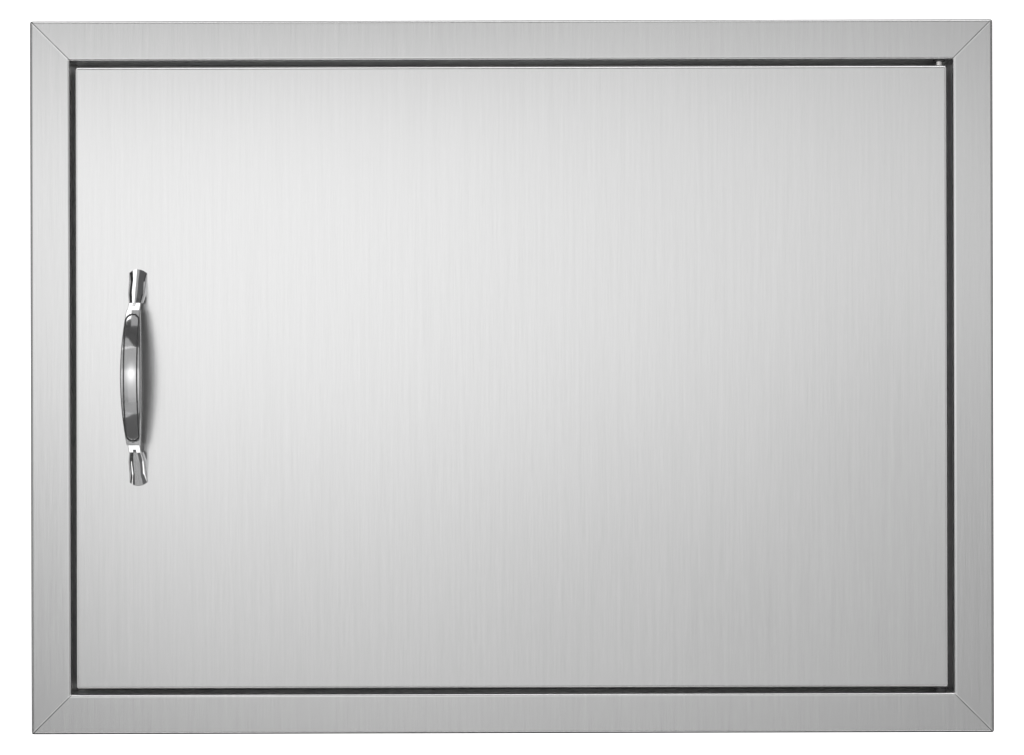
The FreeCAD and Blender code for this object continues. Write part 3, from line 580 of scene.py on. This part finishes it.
# Only its lower fold is darkened, as painted shade. The other places are the trim's, which no point of the
# door reaches.
door_shaded_folds = (frame_half_width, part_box("door_panel")[0].z, frame_half_height)
door_steel = brushed_steel("door_steel", (0.74, 0.74, 0.74), roughness=0.22, hair=0.15, fold=door_shaded_folds)
finish_node("door_panel", door_steel)

# The stiffeners and pivot brackets
# Folded from plain stainless sheet and spot-welded inside the tray: two upright hats behind the skin,
# and a bracket at each pivot. The welds along the hats' flanges are shallow dents, tinted by their heat.


def mill_sheet():
    """Plain mill-finish sheet: a dull rolled surface with faint streaks along it and shallow blotches."""
    colour = (0.56, 0.56, 0.55)
    material, tree, shader, place = bare_finish("mill_sheet", colour, 1.0, 0.46)
    rolled = mottle(tree, place, (260.0, 260.0, 12.0), 4.0, 0.6)
    blotch = mottle(tree, place, (26.0, 26.0, 26.0), 3.0)
    both = graded(tree, blotch, 0.8, rolled)
    varied(tree, shader, colour, both, tone=(0.16, 0.85), rough=(0.14, 0.34))
    raised(tree, shader, rolled, 0.00002)
    return material


plain_sheet = mill_sheet()
for name in ("door_stiffeners", "top_pivot_bracket", "bottom_pivot_bracket"):
    finish_node(name, plain_sheet)

HAT_WIDTH = 0.042
HAT_SHEET = 0.0008
FLANGE_MIDDLE = 0.0045
SPOT_REACH = 0.195
SPOTS_EACH = 8
DENT_RADII = np.array([0.02, 0.9, 1.5, 1.9, 2.2, 2.5, 2.6, 0.02]) * 0.001
DENT_RISES = np.array([0.04, 0.05, 0.09, 0.15, 0.15, 0.06, -0.1, -0.1]) * 0.001
DENT_SIDES = 24


def weld_dent(x, y, z):
    """A dent with a raised lip: rings from a centre just under the lip, over it and down into the sheet."""
    radius = DENT_RADII[:, None]
    around = np.linspace(0.0, 2 * np.pi, DENT_SIDES, endpoint=False)
    rise = np.repeat(DENT_RISES[:, None], DENT_SIDES, 1)
    return np.stack([x + radius * np.cos(around), y + rise, z + radius * np.sin(around)], -1)


def hat_welds():
    """A row of welds down each flange of both hats."""
    low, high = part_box("door_stiffeners")
    rows = (low.x + FLANGE_MIDDLE, low.x + HAT_WIDTH - FLANGE_MIDDLE,
            high.x - HAT_WIDTH + FLANGE_MIDDLE, high.x - FLANGE_MIDDLE)
    heights = np.linspace(-SPOT_REACH, SPOT_REACH, SPOTS_EACH)
    return [weld_dent(x, low.y + HAT_SHEET, z) for x in rows for z in heights]


fitted("stiffener_spot_welds", hat_welds(), weld_steel, "door")
finish_node("bottom_pivot_bush", nylon)

# The bow handle
# A zinc casting, polished and chromed. Two feet stand on the door, a narrow neck rises from each, and
# the bow between them is crowned, with a rounded rim and a panel framed by a groove.

FOOT_LENGTH = 0.018
FOOT_HALF = 0.00635
FOOT_BULGE = 0.0028
HEEL_HALF = 0.00585
HEEL_RISE = 0.0102
TOE_RISE = 0.0018
NECK_IN = 0.0474
NECK_OUT = 0.0526
NECK_HALF = 0.0044
NECK_RISE = 0.0180
NECK_UNDER = 0.0095
NECK_SLOPE = 0.8
NECK_STEP = 0.0007
BOW_HALF = 0.0075
BOW_RISE = 0.0300
BOW_UNDER = 0.0195
PANEL_HALF = 0.0042
PANEL_LENGTH = 0.0439
GROOVE = 0.0008
GROOVE_DEPTH = 0.0009
BACK_SHARE = 0.70
handle_low, handle_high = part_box("handle")
handle_x = (handle_low.x + handle_high.x) / 2
door_face_y = handle_high.y
handle_half = (handle_high.z - handle_low.z) / 2


def bow_heights(z):
    """Half width, underside and crest of the bow at height z: each follows a parabola between the necks."""
    share = 1 - (z / NECK_IN) ** 2
    half = NECK_HALF + NECK_STEP + (BOW_HALF - NECK_HALF - NECK_STEP) * share
    under = NECK_UNDER + (BOW_UNDER - NECK_UNDER) * share
    crest = NECK_RISE + NECK_STEP + (BOW_RISE - NECK_RISE - NECK_STEP) * share
    return half, under, crest


def foot_heights(z):
    """The same for an ankle and its foot, which falls evenly from its heel to its toe."""
    heel = handle_half - FOOT_LENGTH
    fall = (NECK_OUT - NECK_IN) * NECK_SLOPE
    places = (NECK_OUT, heel, handle_half)
    half = np.interp(z, places, (NECK_HALF + NECK_STEP / 2, HEEL_HALF, FOOT_HALF))
    under = np.interp(z, places, (NECK_UNDER - fall, 0.0, 0.0))
    crest = np.interp(z, places, (NECK_RISE - fall - NECK_STEP, HEEL_RISE, TOE_RISE))
    return half, under, crest


BOW_STATIONS = 90
FOOT_STATIONS = 44
STEP_WIDTH = 0.0002


def handle_stations():
    """Stations from the lower tip to the upper, about 0.55 mm apart, but only three on each neck."""
    bow = np.linspace(0.0, NECK_IN, BOW_STATIONS)
    band = np.array([NECK_IN + STEP_WIDTH, (NECK_IN + NECK_OUT) / 2, NECK_OUT - STEP_WIDTH / 2])
    foot = np.linspace(NECK_OUT + STEP_WIDTH, handle_half, FOOT_STATIONS)
    half = np.concatenate([bow, band, foot])
    return np.concatenate([-half[:0:-1], half])


def handle_sections(z):
    """Half width, underside and crest at every station.

    The neck is a plain band, narrower than the bow and the ankle. The crest steps down where the neck
    begins, and again where it ends."""
    far = np.abs(z)
    bow = bow_heights(np.minimum(far, NECK_IN))
    foot = foot_heights(far)
    fall = (far - NECK_IN) * NECK_SLOPE
    neck = (np.full_like(z, NECK_HALF), NECK_UNDER - fall, NECK_RISE - fall)
    on_bow = far <= NECK_IN
    on_foot = far > NECK_OUT
    return [np.where(on_bow, b, np.where(on_foot, f, n)) for b, f, n in zip(bow, foot, neck)]


RIM_BEGINS = 0.84


def across_shares():
    """Places across the front as shares of the half width: close at the edges and the groove."""
    edge = 1 - (1 - RIM_BEGINS) * (1 - np.cos(np.linspace(0.0, np.pi / 2, 16)))
    shoulder = np.linspace(0.83, 0.70, 7)
    groove = np.linspace(0.69, 0.54, 18)
    panel = np.linspace(0.52, 0.0, 16)
    right = np.concatenate([edge, shoulder, groove, panel])
    return np.concatenate([-right, right[-2::-1]])


RIM_FALL = 0.20
PANEL_CROWN = 0.05
FOOT_CROWN_SHARE = 0.75
FOOT_CROWN_MOST = 0.0042


def front_rise(u, z, half, under, crest):
    """How far the front stands out.

    The bow has a crowned panel in a groove with a pill-shaped outline, and a rim that rolls over to the
    sides along a quarter of an ellipse. A foot is crowned from side to side along half an ellipse."""
    height = crest - under
    share = np.abs(u) / half
    rim = np.clip((share - RIM_BEGINS) / (1 - RIM_BEGINS), 0.0, 1.0)
    roll = RIM_FALL * height * (1 - np.sqrt(1 - 0.98 * rim ** 2))
    bow_fall = PANEL_CROWN * height * share ** 2 + roll
    foot_crown = np.minimum(FOOT_CROWN_SHARE * height, FOOT_CROWN_MOST)
    foot_fall = foot_crown * (1 - np.sqrt(1 - 0.97 * share ** 2))
    rise = crest - np.where(np.abs(z) < NECK_OUT, bow_fall, foot_fall)
    straight = np.maximum(np.abs(z) - (PANEL_LENGTH - PANEL_HALF), 0.0)
    outline = np.hypot(u, straight) - PANEL_HALF
    middle = np.abs(outline - GROOVE / 2) / (GROOVE / 2)
    wall = np.clip((1.25 - middle) / 0.5, 0.0, 1.0)
    cut = wall * wall * (3 - 2 * wall)
    return rise - GROOVE_DEPTH * cut * (np.abs(z) < NECK_IN)


BACK_ROUND_BEGINS = 0.86
BACK_ROUND = 0.16


def handle_rings():
    """The handle as rings of points: the front from side to side, then the back from side to side.

    The bow's back is narrower than its front, as the casting's flanks lean in towards the door."""
    z = handle_stations()
    half, under, crest = handle_sections(z)
    shares = across_shares()
    u = half[:, None] * shares
    far = np.abs(z)
    to_tip = np.clip((far - (handle_half - FOOT_LENGTH)) / FOOT_LENGTH, 0.0, 1.0)
    sag = FOOT_BULGE * (u / FOOT_HALF) ** 2 * to_tip[:, None] ** 2
    height = z[:, None] - np.sign(z)[:, None] * sag
    front = front_rise(u, z[:, None], half[:, None], under[:, None], crest[:, None])
    corner = np.clip((np.abs(shares) - BACK_ROUND_BEGINS) / (1 - BACK_ROUND_BEGINS), 0.0, 1.0)
    off_door = (under > 0.001)[:, None]
    tall = (crest - under)[:, None]
    back = under[:, None] + BACK_ROUND * tall * (1 - np.sqrt(1 - corner ** 2)) * off_door
    lean = np.where(far < NECK_OUT, BACK_SHARE, 1.0)[:, None]
    sides = []
    for wide, rise, order in ((u, front, slice(None)), (u * lean, back, slice(None, None, -1))):
        sides.append(np.stack([handle_x + wide, door_face_y - rise, height], -1)[:, order])
    return np.concatenate(sides, 1)


def polished_chrome():
    """Chrome plate: nearly a mirror, with the faint ripple of the polishing wheel and a few hairlines."""
    colour = (0.64, 0.64, 0.645)
    material, tree, shader, place = bare_finish("polished_chrome", colour, 1.0, 0.07)
    ripple = mottle(tree, place, (160.0, 160.0, 60.0), 2.0)
    hairs = mottle(tree, place, (2400.0, 2400.0, 120.0), 2.0)
    varied(tree, shader, colour, hairs, tone=(0.05, 0.97), rough=(0.06, 0.05))
    raised(tree, shader, ripple, 0.00002)
    return material


def dull_casting_and_shade():
    """The back and the groove: grey plate on the cast skin that the polishing wheel doesn't reach. Their
    dark tone is partly that skin's own and partly painted shade.
    """
    colour = (0.20, 0.20, 0.20)
    material, tree, shader, place = bare_finish("dull_casting_and_shade", colour, 1.0, 0.5)
    grit = mottle(tree, place, (1200.0, 1200.0, 1200.0), 3.0)
    varied(tree, shader, colour, grit, tone=(0.6, 0.7), rough=(0.2, 0.4))
    raised(tree, shader, grit, 0.00004)
    return material


GROOVE_FLOOR_SHARE = 0.42


def dull_and_shaded_faces(polygons):
    """One for each face of the handle that gets the dark casting, partly unpolished and partly painted
    shade:
    the back and the groove's floor. Nought for the polished ones.
    """
    facing = np.empty(len(polygons) * 3)
    polygons.foreach_get("normal", facing)
    centres = np.empty_like(facing)
    polygons.foreach_get("center", centres)
    along = np.maximum(np.abs(centres[2::3]) - (PANEL_LENGTH - PANEL_HALF), 0.0)
    from_groove = np.hypot(centres[0::3] - handle_x, along) - PANEL_HALF - GROOVE / 2
    on_front = centres[1::3] < door_face_y - NECK_RISE
    in_groove = (np.abs(from_groove) < GROOVE * GROOVE_FLOOR_SHARE) & on_front
    looks_back = facing[1::3] > 0.5
    return (looks_back | in_groove).astype(np.int32)


chrome = polished_chrome()
bow_handle = fitted("bow_handle", [handle_rings()], chrome, "door", ["handle"])
# The back and the groove's floor take the dark casting: partly the unpolished skin's own tone, partly
# painted shade.
bow_handle.data.materials.append(dull_casting_and_shade())
bow_handle.data.polygons.foreach_set("material_index", dull_and_shaded_faces(bow_handle.data.polygons))

# The handle's screws
# Two zinc-plated pan-head machine screws with a cross recess. Each reaches from inside the tray, through
# its washer and the skin, into a foot.

HANDLE_SCREW_HEAD = (0.0036, 0.0024)
handle_pair = screw_pair("handle_screws", 1, ((1.0, 0.0, 0.0), (0.0, 0.0, 1.0)), HANDLE_SCREW_HEAD,
                         radius=0.002, pitch=0.0007, turns=(0.5, 1.1))
fitted("handle_pan_screws", handle_pair, zinc, "door", ["handle_screws"])
finish_node("handle_washers", zinc)

# The strike
# A zinc-plated steel plate on the latch side's hem, held by two stainless blind rivets.


def drawn_steel(name, colour, roughness):
    """Plain drawn steel with fine scratches that lie every way."""
    material, tree, shader, place = bare_finish(name, colour, 1.0, roughness)
    scratch = mottle(tree, place, (1100.0, 1100.0, 1100.0), 5.0, 0.7)
    varied(tree, shader, colour, scratch, tone=(0.3, 0.84), rough=(0.2, roughness - 0.1))
    raised(tree, shader, scratch, 0.00001)
    return material


finish_node("strike_plate", zinc)
finish_node("strike_rivets", drawn_steel("rivet_steel", (0.60, 0.60, 0.59), 0.38))

# The sprung pivot bolt
# A turned bolt whose slim stem ends in a bent finger, a pressed clip that keeps it in the bracket,
# and a spring of 0.7 mm wire that pushes its tip up into the frame's bush.

WIRE_RADIUS = 0.00035
WIRE_SIDES = 16
COIL_RADIUS = 0.0021
COIL_TURNS = 4
COIL_STEPS = 48
CLOSED_RISE = 0.0013
spring_low, spring_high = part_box("pivot_spring")
bush_low, bush_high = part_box("top_pivot_bush")
bolt_centre = (bush_low + bush_high) / 2


def coil_rings():
    """A tube round a helix. Its pitch is wide in the middle turns and narrow in the first and last."""
    turn = np.linspace(0.0, COIL_TURNS, COIL_TURNS * COIL_STEPS + 1)
    low = spring_low.z + WIRE_RADIUS
    high = spring_high.z - WIRE_RADIUS
    closed = np.clip(turn, 0.0, 1.0) + np.clip(turn - COIL_TURNS + 1, 0.0, 1.0)
    open_share = np.clip(turn - 1, 0.0, COIL_TURNS - 2) / (COIL_TURNS - 2)
    z = low + CLOSED_RISE * closed + open_share * (high - low - 2 * CLOSED_RISE)
    angle = 2 * np.pi * turn
    out = np.stack([np.cos(angle), np.sin(angle), np.zeros_like(angle)], -1)
    axis = np.stack([np.full_like(z, bolt_centre.x), np.full_like(z, bolt_centre.y), z], -1)
    line = axis + COIL_RADIUS * out
    along = np.gradient(line, axis=0)
    along /= np.linalg.norm(along, axis=1, keepdims=True)
    across = np.cross(along, out)
    around = np.linspace(0.0, 2 * np.pi, WIRE_SIDES, endpoint=False)[None, :, None]
    section = np.cos(around) * out[:, None] + np.sin(around) * across[:, None]
    return line[:, None] + WIRE_RADIUS * section


spring_steel = drawn_steel("spring_steel", (0.52, 0.51, 0.50), 0.3)
coil = fitted("spring_coil", [coil_rings()], spring_steel, "door", ["pivot_spring"])
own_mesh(coil)
finish_node("pivot_bolt", bright_pin)
finish_node("bolt_clip", spring_steel)

# The studio
# A pale floor and wall, a tall glowing reflector behind the camera, and cards of cloth all round, which
# only reflections see. Glowing veils hang before them: some light all but the handle, for the shading of
# the brushed faces and their folds, and some light only the handle, for its bright bands and its spot.


def flat_sheet(name, corners, material):
    """One quad through four corners, in its paint."""
    mesh = bpy.data.meshes.new(name)
    mesh.from_pydata(corners, [], [(0, 1, 2, 3)])
    mesh.materials.append(material)
    made = bpy.data.objects.new(name, mesh)
    bpy.context.scene.collection.objects.link(made)
    return made


def pale_surface(name, tone, glow):
    """A matt pale paint that is white to the camera and glows less in a reflection."""
    material, tree, shader, _ = bare_finish(name, (tone, tone, tone), 0.0, 0.9)
    rays = tree.nodes.new("ShaderNodeLightPath")
    mirrored = sums(tree, "MAXIMUM", rays.outputs["Is Glossy Ray"], rays.outputs["Is Transmission Ray"])
    seen = graded(tree, mirrored, glow, rays.outputs["Is Camera Ray"])
    shader.inputs["Emission Color"].default_value = (1.0, 1.0, 1.0, 1.0)
    tree.links.new(seen, shader.inputs["Emission Strength"])
    return material


def level_sheet(across, along, z):
    """Corners of a level sheet: its two sides, and its two ends front to back."""
    (left, right), (front, back) = across, along
    return [(left, front, z), (right, front, z), (right, back, z), (left, back, z)]


def side_sheet(x, along, low, high):
    """Corners of an upright sheet that runs front to back."""
    front, back = along
    return [(x, front, low), (x, back, low), (x, back, high), (x, front, high)]


def upright_sheet(across, y, low, high):
    """Corners of an upright sheet that runs from left to right."""
    left, right = across
    return [(left, y, low), (right, y, low), (right, y, high), (left, y, high)]


FLOOR_Z = -0.62
WALL_Y = 2.6
ROOM = 6.0
ROOM_SIDES = (-ROOM, ROOM)
floor_paint = pale_surface("floor_paint", tone=0.8, glow=0.5)
flat_sheet("floor", level_sheet(ROOM_SIDES, (-ROOM, WALL_Y), FLOOR_Z), floor_paint)
wall_paint = pale_surface("wall_paint", tone=0.8, glow=0.3)
flat_sheet("wall", upright_sheet(ROOM_SIDES, WALL_Y, FLOOR_Z, ROOM), wall_paint)

REFLECTOR_Y = -1.62
REFLECTOR_HALF = 2.2
WIDE = (-REFLECTOR_HALF, REFLECTOR_HALF)
REFLECTOR_TOP = 0.74
FLAG_TOP = 1.44
SPOT_X = -0.54
SPOT_Z = 0.10
SPOT_WIDTH = 0.20
SPOT_HEIGHT = 0.19
SPOT_GLOW = 0.95


def changed(tree, place, level, changes):
    """A level on an upright sheet with its changes.

    Each change acts within its soft edges across and up: nought at an edge's first place, whole at its
    second."""
    parts = parts_of(tree, place)
    for across_edges, up_edges, change in changes:
        masks = [eased(tree, parts["X"], *edge) for edge in across_edges]
        masks += [eased(tree, parts["Z"], *edge) for edge in up_edges]
        level = graded(tree, product(tree, *masks), change, level)
    return level


BASE_GLOW = 0.86
BASE_CHANGES = (
    ([(-0.25, 0.6)], [], -0.5),
    ([(-0.66, -0.74)], [(0.25, -0.4)], -0.24),
    ([], [(-0.46, -0.53)], -0.12),
)


def base_level(tree, place):
    """The reflector's glow. It sinks to the right, towards the floor, at the lower left and high up."""
    up = parts_of(tree, place)["Z"]
    low = graded(tree, eased(tree, up, -0.6, 0.0), 0.3, 0.7)
    high = graded(tree, eased(tree, up, 0.14, 0.26), -0.4, 1.0)
    return product(tree, low, high, changed(tree, place, 1.0, BASE_CHANGES), BASE_GLOW)


FULL_GLOW = 1.13
FULL_CHANGES = (
    ([(-0.67, -0.72)], [], -0.03),
    ([(-0.67, -0.72)], [(0.25, -0.40)], -0.28),
    ([(-0.65, -0.72)], [(0.40, 0.50)], -0.06),
    ([(-0.42, -0.60), (-0.70, -0.64)], [(0.15, 0.0), (-0.38, -0.27)], 0.07),
    ([(0.15, -0.15), (-0.74, -0.62)], [(0.46, 0.51)], -0.17),
    ([(0.30, 0.65)], [(0.47, 0.52)], 0.06),
    ([(-0.15, -0.50)], [(-0.46, -0.53)], -0.20),
    ([(0.0, 0.30), (0.65, 0.45)], [(-0.46, -0.52)], 0.05),
    ([(0.40, 0.50), (0.70, 0.655)], [(0.20, -0.05), (-0.30, -0.05)], -0.08),
    ([(0.655, 0.70)], [(-0.10, 0.10), (0.55, 0.35)], 0.07),
    ([(-0.80, -1.50)], [], -0.45),
    ([(0.78, 1.0)], [], -0.36),
)


def full_level(tree, place):
    """The glow that the sheets are to see. It sinks to the right, to the floor and high up, with changes."""
    parts = parts_of(tree, place)
    level = sums(tree, "MINIMUM", graded(tree, parts["X"], -0.33, 0.91), 1.0)
    low = graded(tree, eased(tree, parts["Z"], -0.5, 0.15), 0.34, 0.66)
    high = graded(tree, eased(tree, parts["Z"], 0.32, 0.85), -0.5, 1.0)
    return product(tree, changed(tree, place, level, FULL_CHANGES), low, high, FULL_GLOW)


def missing_level(tree, place):
    """What the reflector leaves for the veil to add."""
    missing = sums(tree, "SUBTRACT", full_level(tree, place), base_level(tree, place))
    return sums(tree, "MAXIMUM", missing, 0.0)


def spot_level(tree, place):
    """A soft spot: e to the power of minus the squared distance from its centre in widths and heights."""
    parts = parts_of(tree, place)
    wide = product(tree, sums(tree, "SUBTRACT", parts["X"], SPOT_X), 1 / SPOT_WIDTH)
    tall = product(tree, sums(tree, "SUBTRACT", parts["Z"], SPOT_Z), 1 / SPOT_HEIGHT)
    far = sums(tree, "ADD", product(tree, wide, wide), product(tree, tall, tall))
    return product(tree, sums(tree, "EXPONENT", product(tree, far, -1.0), 0.0), SPOT_GLOW)


def glowing_gauze(name, strength, level=None):
    """A clear gauze that adds light and hides nothing behind it: all over, or at a level that varies."""
    material, tree, shader, place = bare_finish(name, (0.0, 0.0, 0.0), 0.0, 1.0)
    glow = tree.nodes.new("ShaderNodeEmission")
    clear = tree.nodes.new("ShaderNodeBsdfTransparent")
    both = tree.nodes.new("ShaderNodeAddShader")
    glow.inputs["Strength"].default_value = strength
    if level is not None:
        tree.links.new(level(tree, place), glow.inputs["Strength"])
    tree.links.new(glow.outputs[0], both.inputs[0])
    tree.links.new(clear.outputs[0], both.inputs[1])
    tree.nodes.remove(shader)
    tree.links.new(both.outputs[0], tree.nodes["Material Output"].inputs["Surface"])
    return material


def behind_camera(name, y, material):
    """An upright sheet as large as the reflector, behind the camera, which doesn't see it."""
    made = flat_sheet(name, upright_sheet(WIDE, y, FLOOR_Z, REFLECTOR_TOP), material)
    made.visible_camera = False
    return made


def lights_only(source, state):
    """Light linking: the source lights the handle alone, or all but the handle."""
    circle = bpy.data.collections.new(source.name + "_lights")
    source.light_linking.receiver_collection = circle
    circle.objects.link(bow_handle)
    circle.collection_objects[0].light_linking.link_state = state


def reflector_card():
    """The reflector's dark card, which glows at the base level."""
    material, tree, shader, place = bare_finish("reflector_card", (0.05, 0.05, 0.05), 0.0, 1.0)
    shader.inputs["Emission Color"].default_value = (1.0, 1.0, 1.0, 1.0)
    tree.links.new(base_level(tree, place), shader.inputs["Emission Strength"])
    return material


VEIL_GAP = 0.01
behind_camera("reflector", REFLECTOR_Y, reflector_card())
sheet_gauze = glowing_gauze("sheet_gauze", 1.0, missing_level)
lights_only(behind_camera("sheet_veil", REFLECTOR_Y + VEIL_GAP, sheet_gauze), "EXCLUDE")
spot_gauze = glowing_gauze("spot_gauze", 1.0, spot_level)
lights_only(behind_camera("spot_veil", REFLECTOR_Y + 2 * VEIL_GAP, spot_gauze), "INCLUDE")


def cloth(name, tone):
    """A card's matt cloth in its tone."""
    return bare_finish(name, (tone, tone, tone), 0.0, 1.0)[0]


black = cloth("black_cloth", 0.05)
dark = cloth("dark_cloth", 0.20)
pale = cloth("pale_cloth", 0.70)
FLAG_Y = -1.6
FLAG_LEFT = 0.84
FLAG_RIGHT = 0.64
SIDE = 1.3
CARD_FLOOR = -0.6
high_corners = [
    (-REFLECTOR_HALF, FLAG_Y, FLAG_LEFT), (REFLECTOR_HALF, FLAG_Y, FLAG_RIGHT),
    (REFLECTOR_HALF, FLAG_Y, FLAG_TOP), (-REFLECTOR_HALF, FLAG_Y, FLAG_TOP),
]
CARDS = {
    "high": (high_corners, dark),
    "floor_front": (level_sheet(WIDE, (-1.6, -1.05), CARD_FLOOR), pale),
    "floor_left": (level_sheet((-REFLECTOR_HALF, -0.66), (-1.05, -0.06), CARD_FLOOR), black),
    "floor_right": (level_sheet((-0.66, REFLECTOR_HALF), (-1.05, -0.06), CARD_FLOOR), dark),
    "left": (side_sheet(-SIDE, (-0.6, 0.6), -0.6, 1.0), black),
    "right": (side_sheet(SIDE, (-1.3, 0.6), -0.6, 1.0), black),
    "over": (level_sheet((-1.2, 1.2), (0.12, 0.9), 0.7), black),
    "over_back": (upright_sheet((-1.2, 1.2), 0.9, 0.3, 0.7), black),
    "under": (level_sheet((-1.2, 1.2), (-0.04, 0.45), -0.45), black),
    "ceiling": (level_sheet(WIDE, (-1.6, -0.2), FLAG_TOP), dark),
}
LOW_VEIL = CARD_FLOOR + VEIL_GAP
HIGH_VEIL = FLAG_TOP - 2 * VEIL_GAP
VEILS = {
    "left": (side_sheet(VEIL_GAP - SIDE, (-0.6, 0.2), -0.6, 1.0), 0.65, "EXCLUDE"),
    "right": (side_sheet(SIDE - VEIL_GAP, (-1.3, 0.0), -0.6, 1.0), 0.55, "EXCLUDE"),
    "floor": (level_sheet(WIDE, (-0.46, -0.24), LOW_VEIL), 1.5, "EXCLUDE"),
    "ceiling": (level_sheet(WIDE, (-1.3, -0.15), FLAG_TOP - VEIL_GAP), 1.35, "EXCLUDE"),
    "floor_pale": (level_sheet((-0.66, -0.02), (-0.485, -0.26), LOW_VEIL), 0.65, "INCLUDE"),
    "floor_strip": (level_sheet((-1.0, 1.0), (-0.26, -0.06), LOW_VEIL), 2.0, "INCLUDE"),
    "floor_wedge": ([(-1.0, -1.05, LOW_VEIL), (-0.4, -1.05, LOW_VEIL), (-0.7, -0.84, LOW_VEIL),
                     (-1.0, -0.84, LOW_VEIL)], 0.45, "INCLUDE"),
    "high_wedge": ([(-1.6, FLAG_Y + VEIL_GAP, 0.74), (-0.4, FLAG_Y + VEIL_GAP, 0.74),
                    (-0.85, FLAG_Y + VEIL_GAP, 1.05), (-1.6, FLAG_Y + VEIL_GAP, 1.05)], 0.42, "INCLUDE"),
    "ceiling_middle": (level_sheet((-0.72, -0.2), (-1.6, -0.46), HIGH_VEIL), 0.4, "INCLUDE"),
    "ceiling_window": (level_sheet((-1.6, -0.72), (-1.3, -0.46), HIGH_VEIL), 2.0, "INCLUDE"),
    "ceiling_strip": (level_sheet((-1.0, 1.0), (-0.46, -0.2), HIGH_VEIL), 2.2, "INCLUDE"),
}
for name, (corners, finish) in CARDS.items():
    hung = flat_sheet("card_" + name, corners, finish)
    hung.visible_camera = False
    hung.visible_diffuse = False
    hung.visible_shadow = False
for name, (corners, strength, state) in VEILS.items():
    hung = flat_sheet("veil_" + name, corners, glowing_gauze("gauze_" + name, strength))
    hung.visible_camera = False
    hung.visible_diffuse = False
    lights_only(hung, state)


def soft_box(name, place, aim, size, glow):
    """A square area lamp turned to its aim. Its glow is the radiance of its face."""
    lamp = bpy.data.lights.new(name, "AREA")
    lamp.size = size
    lamp.energy = glow * math.pi * size ** 2
    made = bpy.data.objects.new(name, lamp)
    way = np.array(aim) - np.array(place)
    made.location = place
    made.rotation_euler = (math.atan2(math.hypot(way[0], way[1]), -way[2]), 0, math.atan2(-way[0], way[1]))
    bpy.context.scene.collection.objects.link(made)


soft_box("fill", place=(0.3, -1.0, 2.4), aim=(0.0, 0.0, 0.0), size=1.6, glow=1.2)

# The world is white to the camera and in reflections, and lights everything at half that.
world = bpy.data.worlds.new("surround")
bpy.context.scene.world = world
world.use_nodes = True
sky = world.node_tree
rays = sky.nodes.new("ShaderNodeLightPath")
seen = sums(sky, "MAXIMUM", rays.outputs["Is Camera Ray"], rays.outputs["Is Glossy Ray"])
seen = sums(sky, "MAXIMUM", seen, rays.outputs["Is Transmission Ray"])
sky.nodes["Background"].inputs["Color"].default_value = (1.0, 1.0, 1.0, 1.0)
sky.links.new(graded(sky, seen, 0.5, 0.5), sky.nodes["Background"].inputs["Strength"])

# The camera
# A long lens 1.35 m before the door's face, rolled by a seventh of a degree, as the picture is.

camera = bpy.data.objects.new("camera", bpy.data.cameras.new("camera"))
camera.data.lens = 66.7
camera.data.sensor_width = 36.0
camera.location = (0.0, -1.359, -0.0005)
camera.rotation_euler = (math.radians(90), math.radians(0.14), 0)
bpy.context.scene.collection.objects.link(camera)
bpy.context.scene.camera = camera
bpy.context.scene.view_settings.view_transform = "Standard"
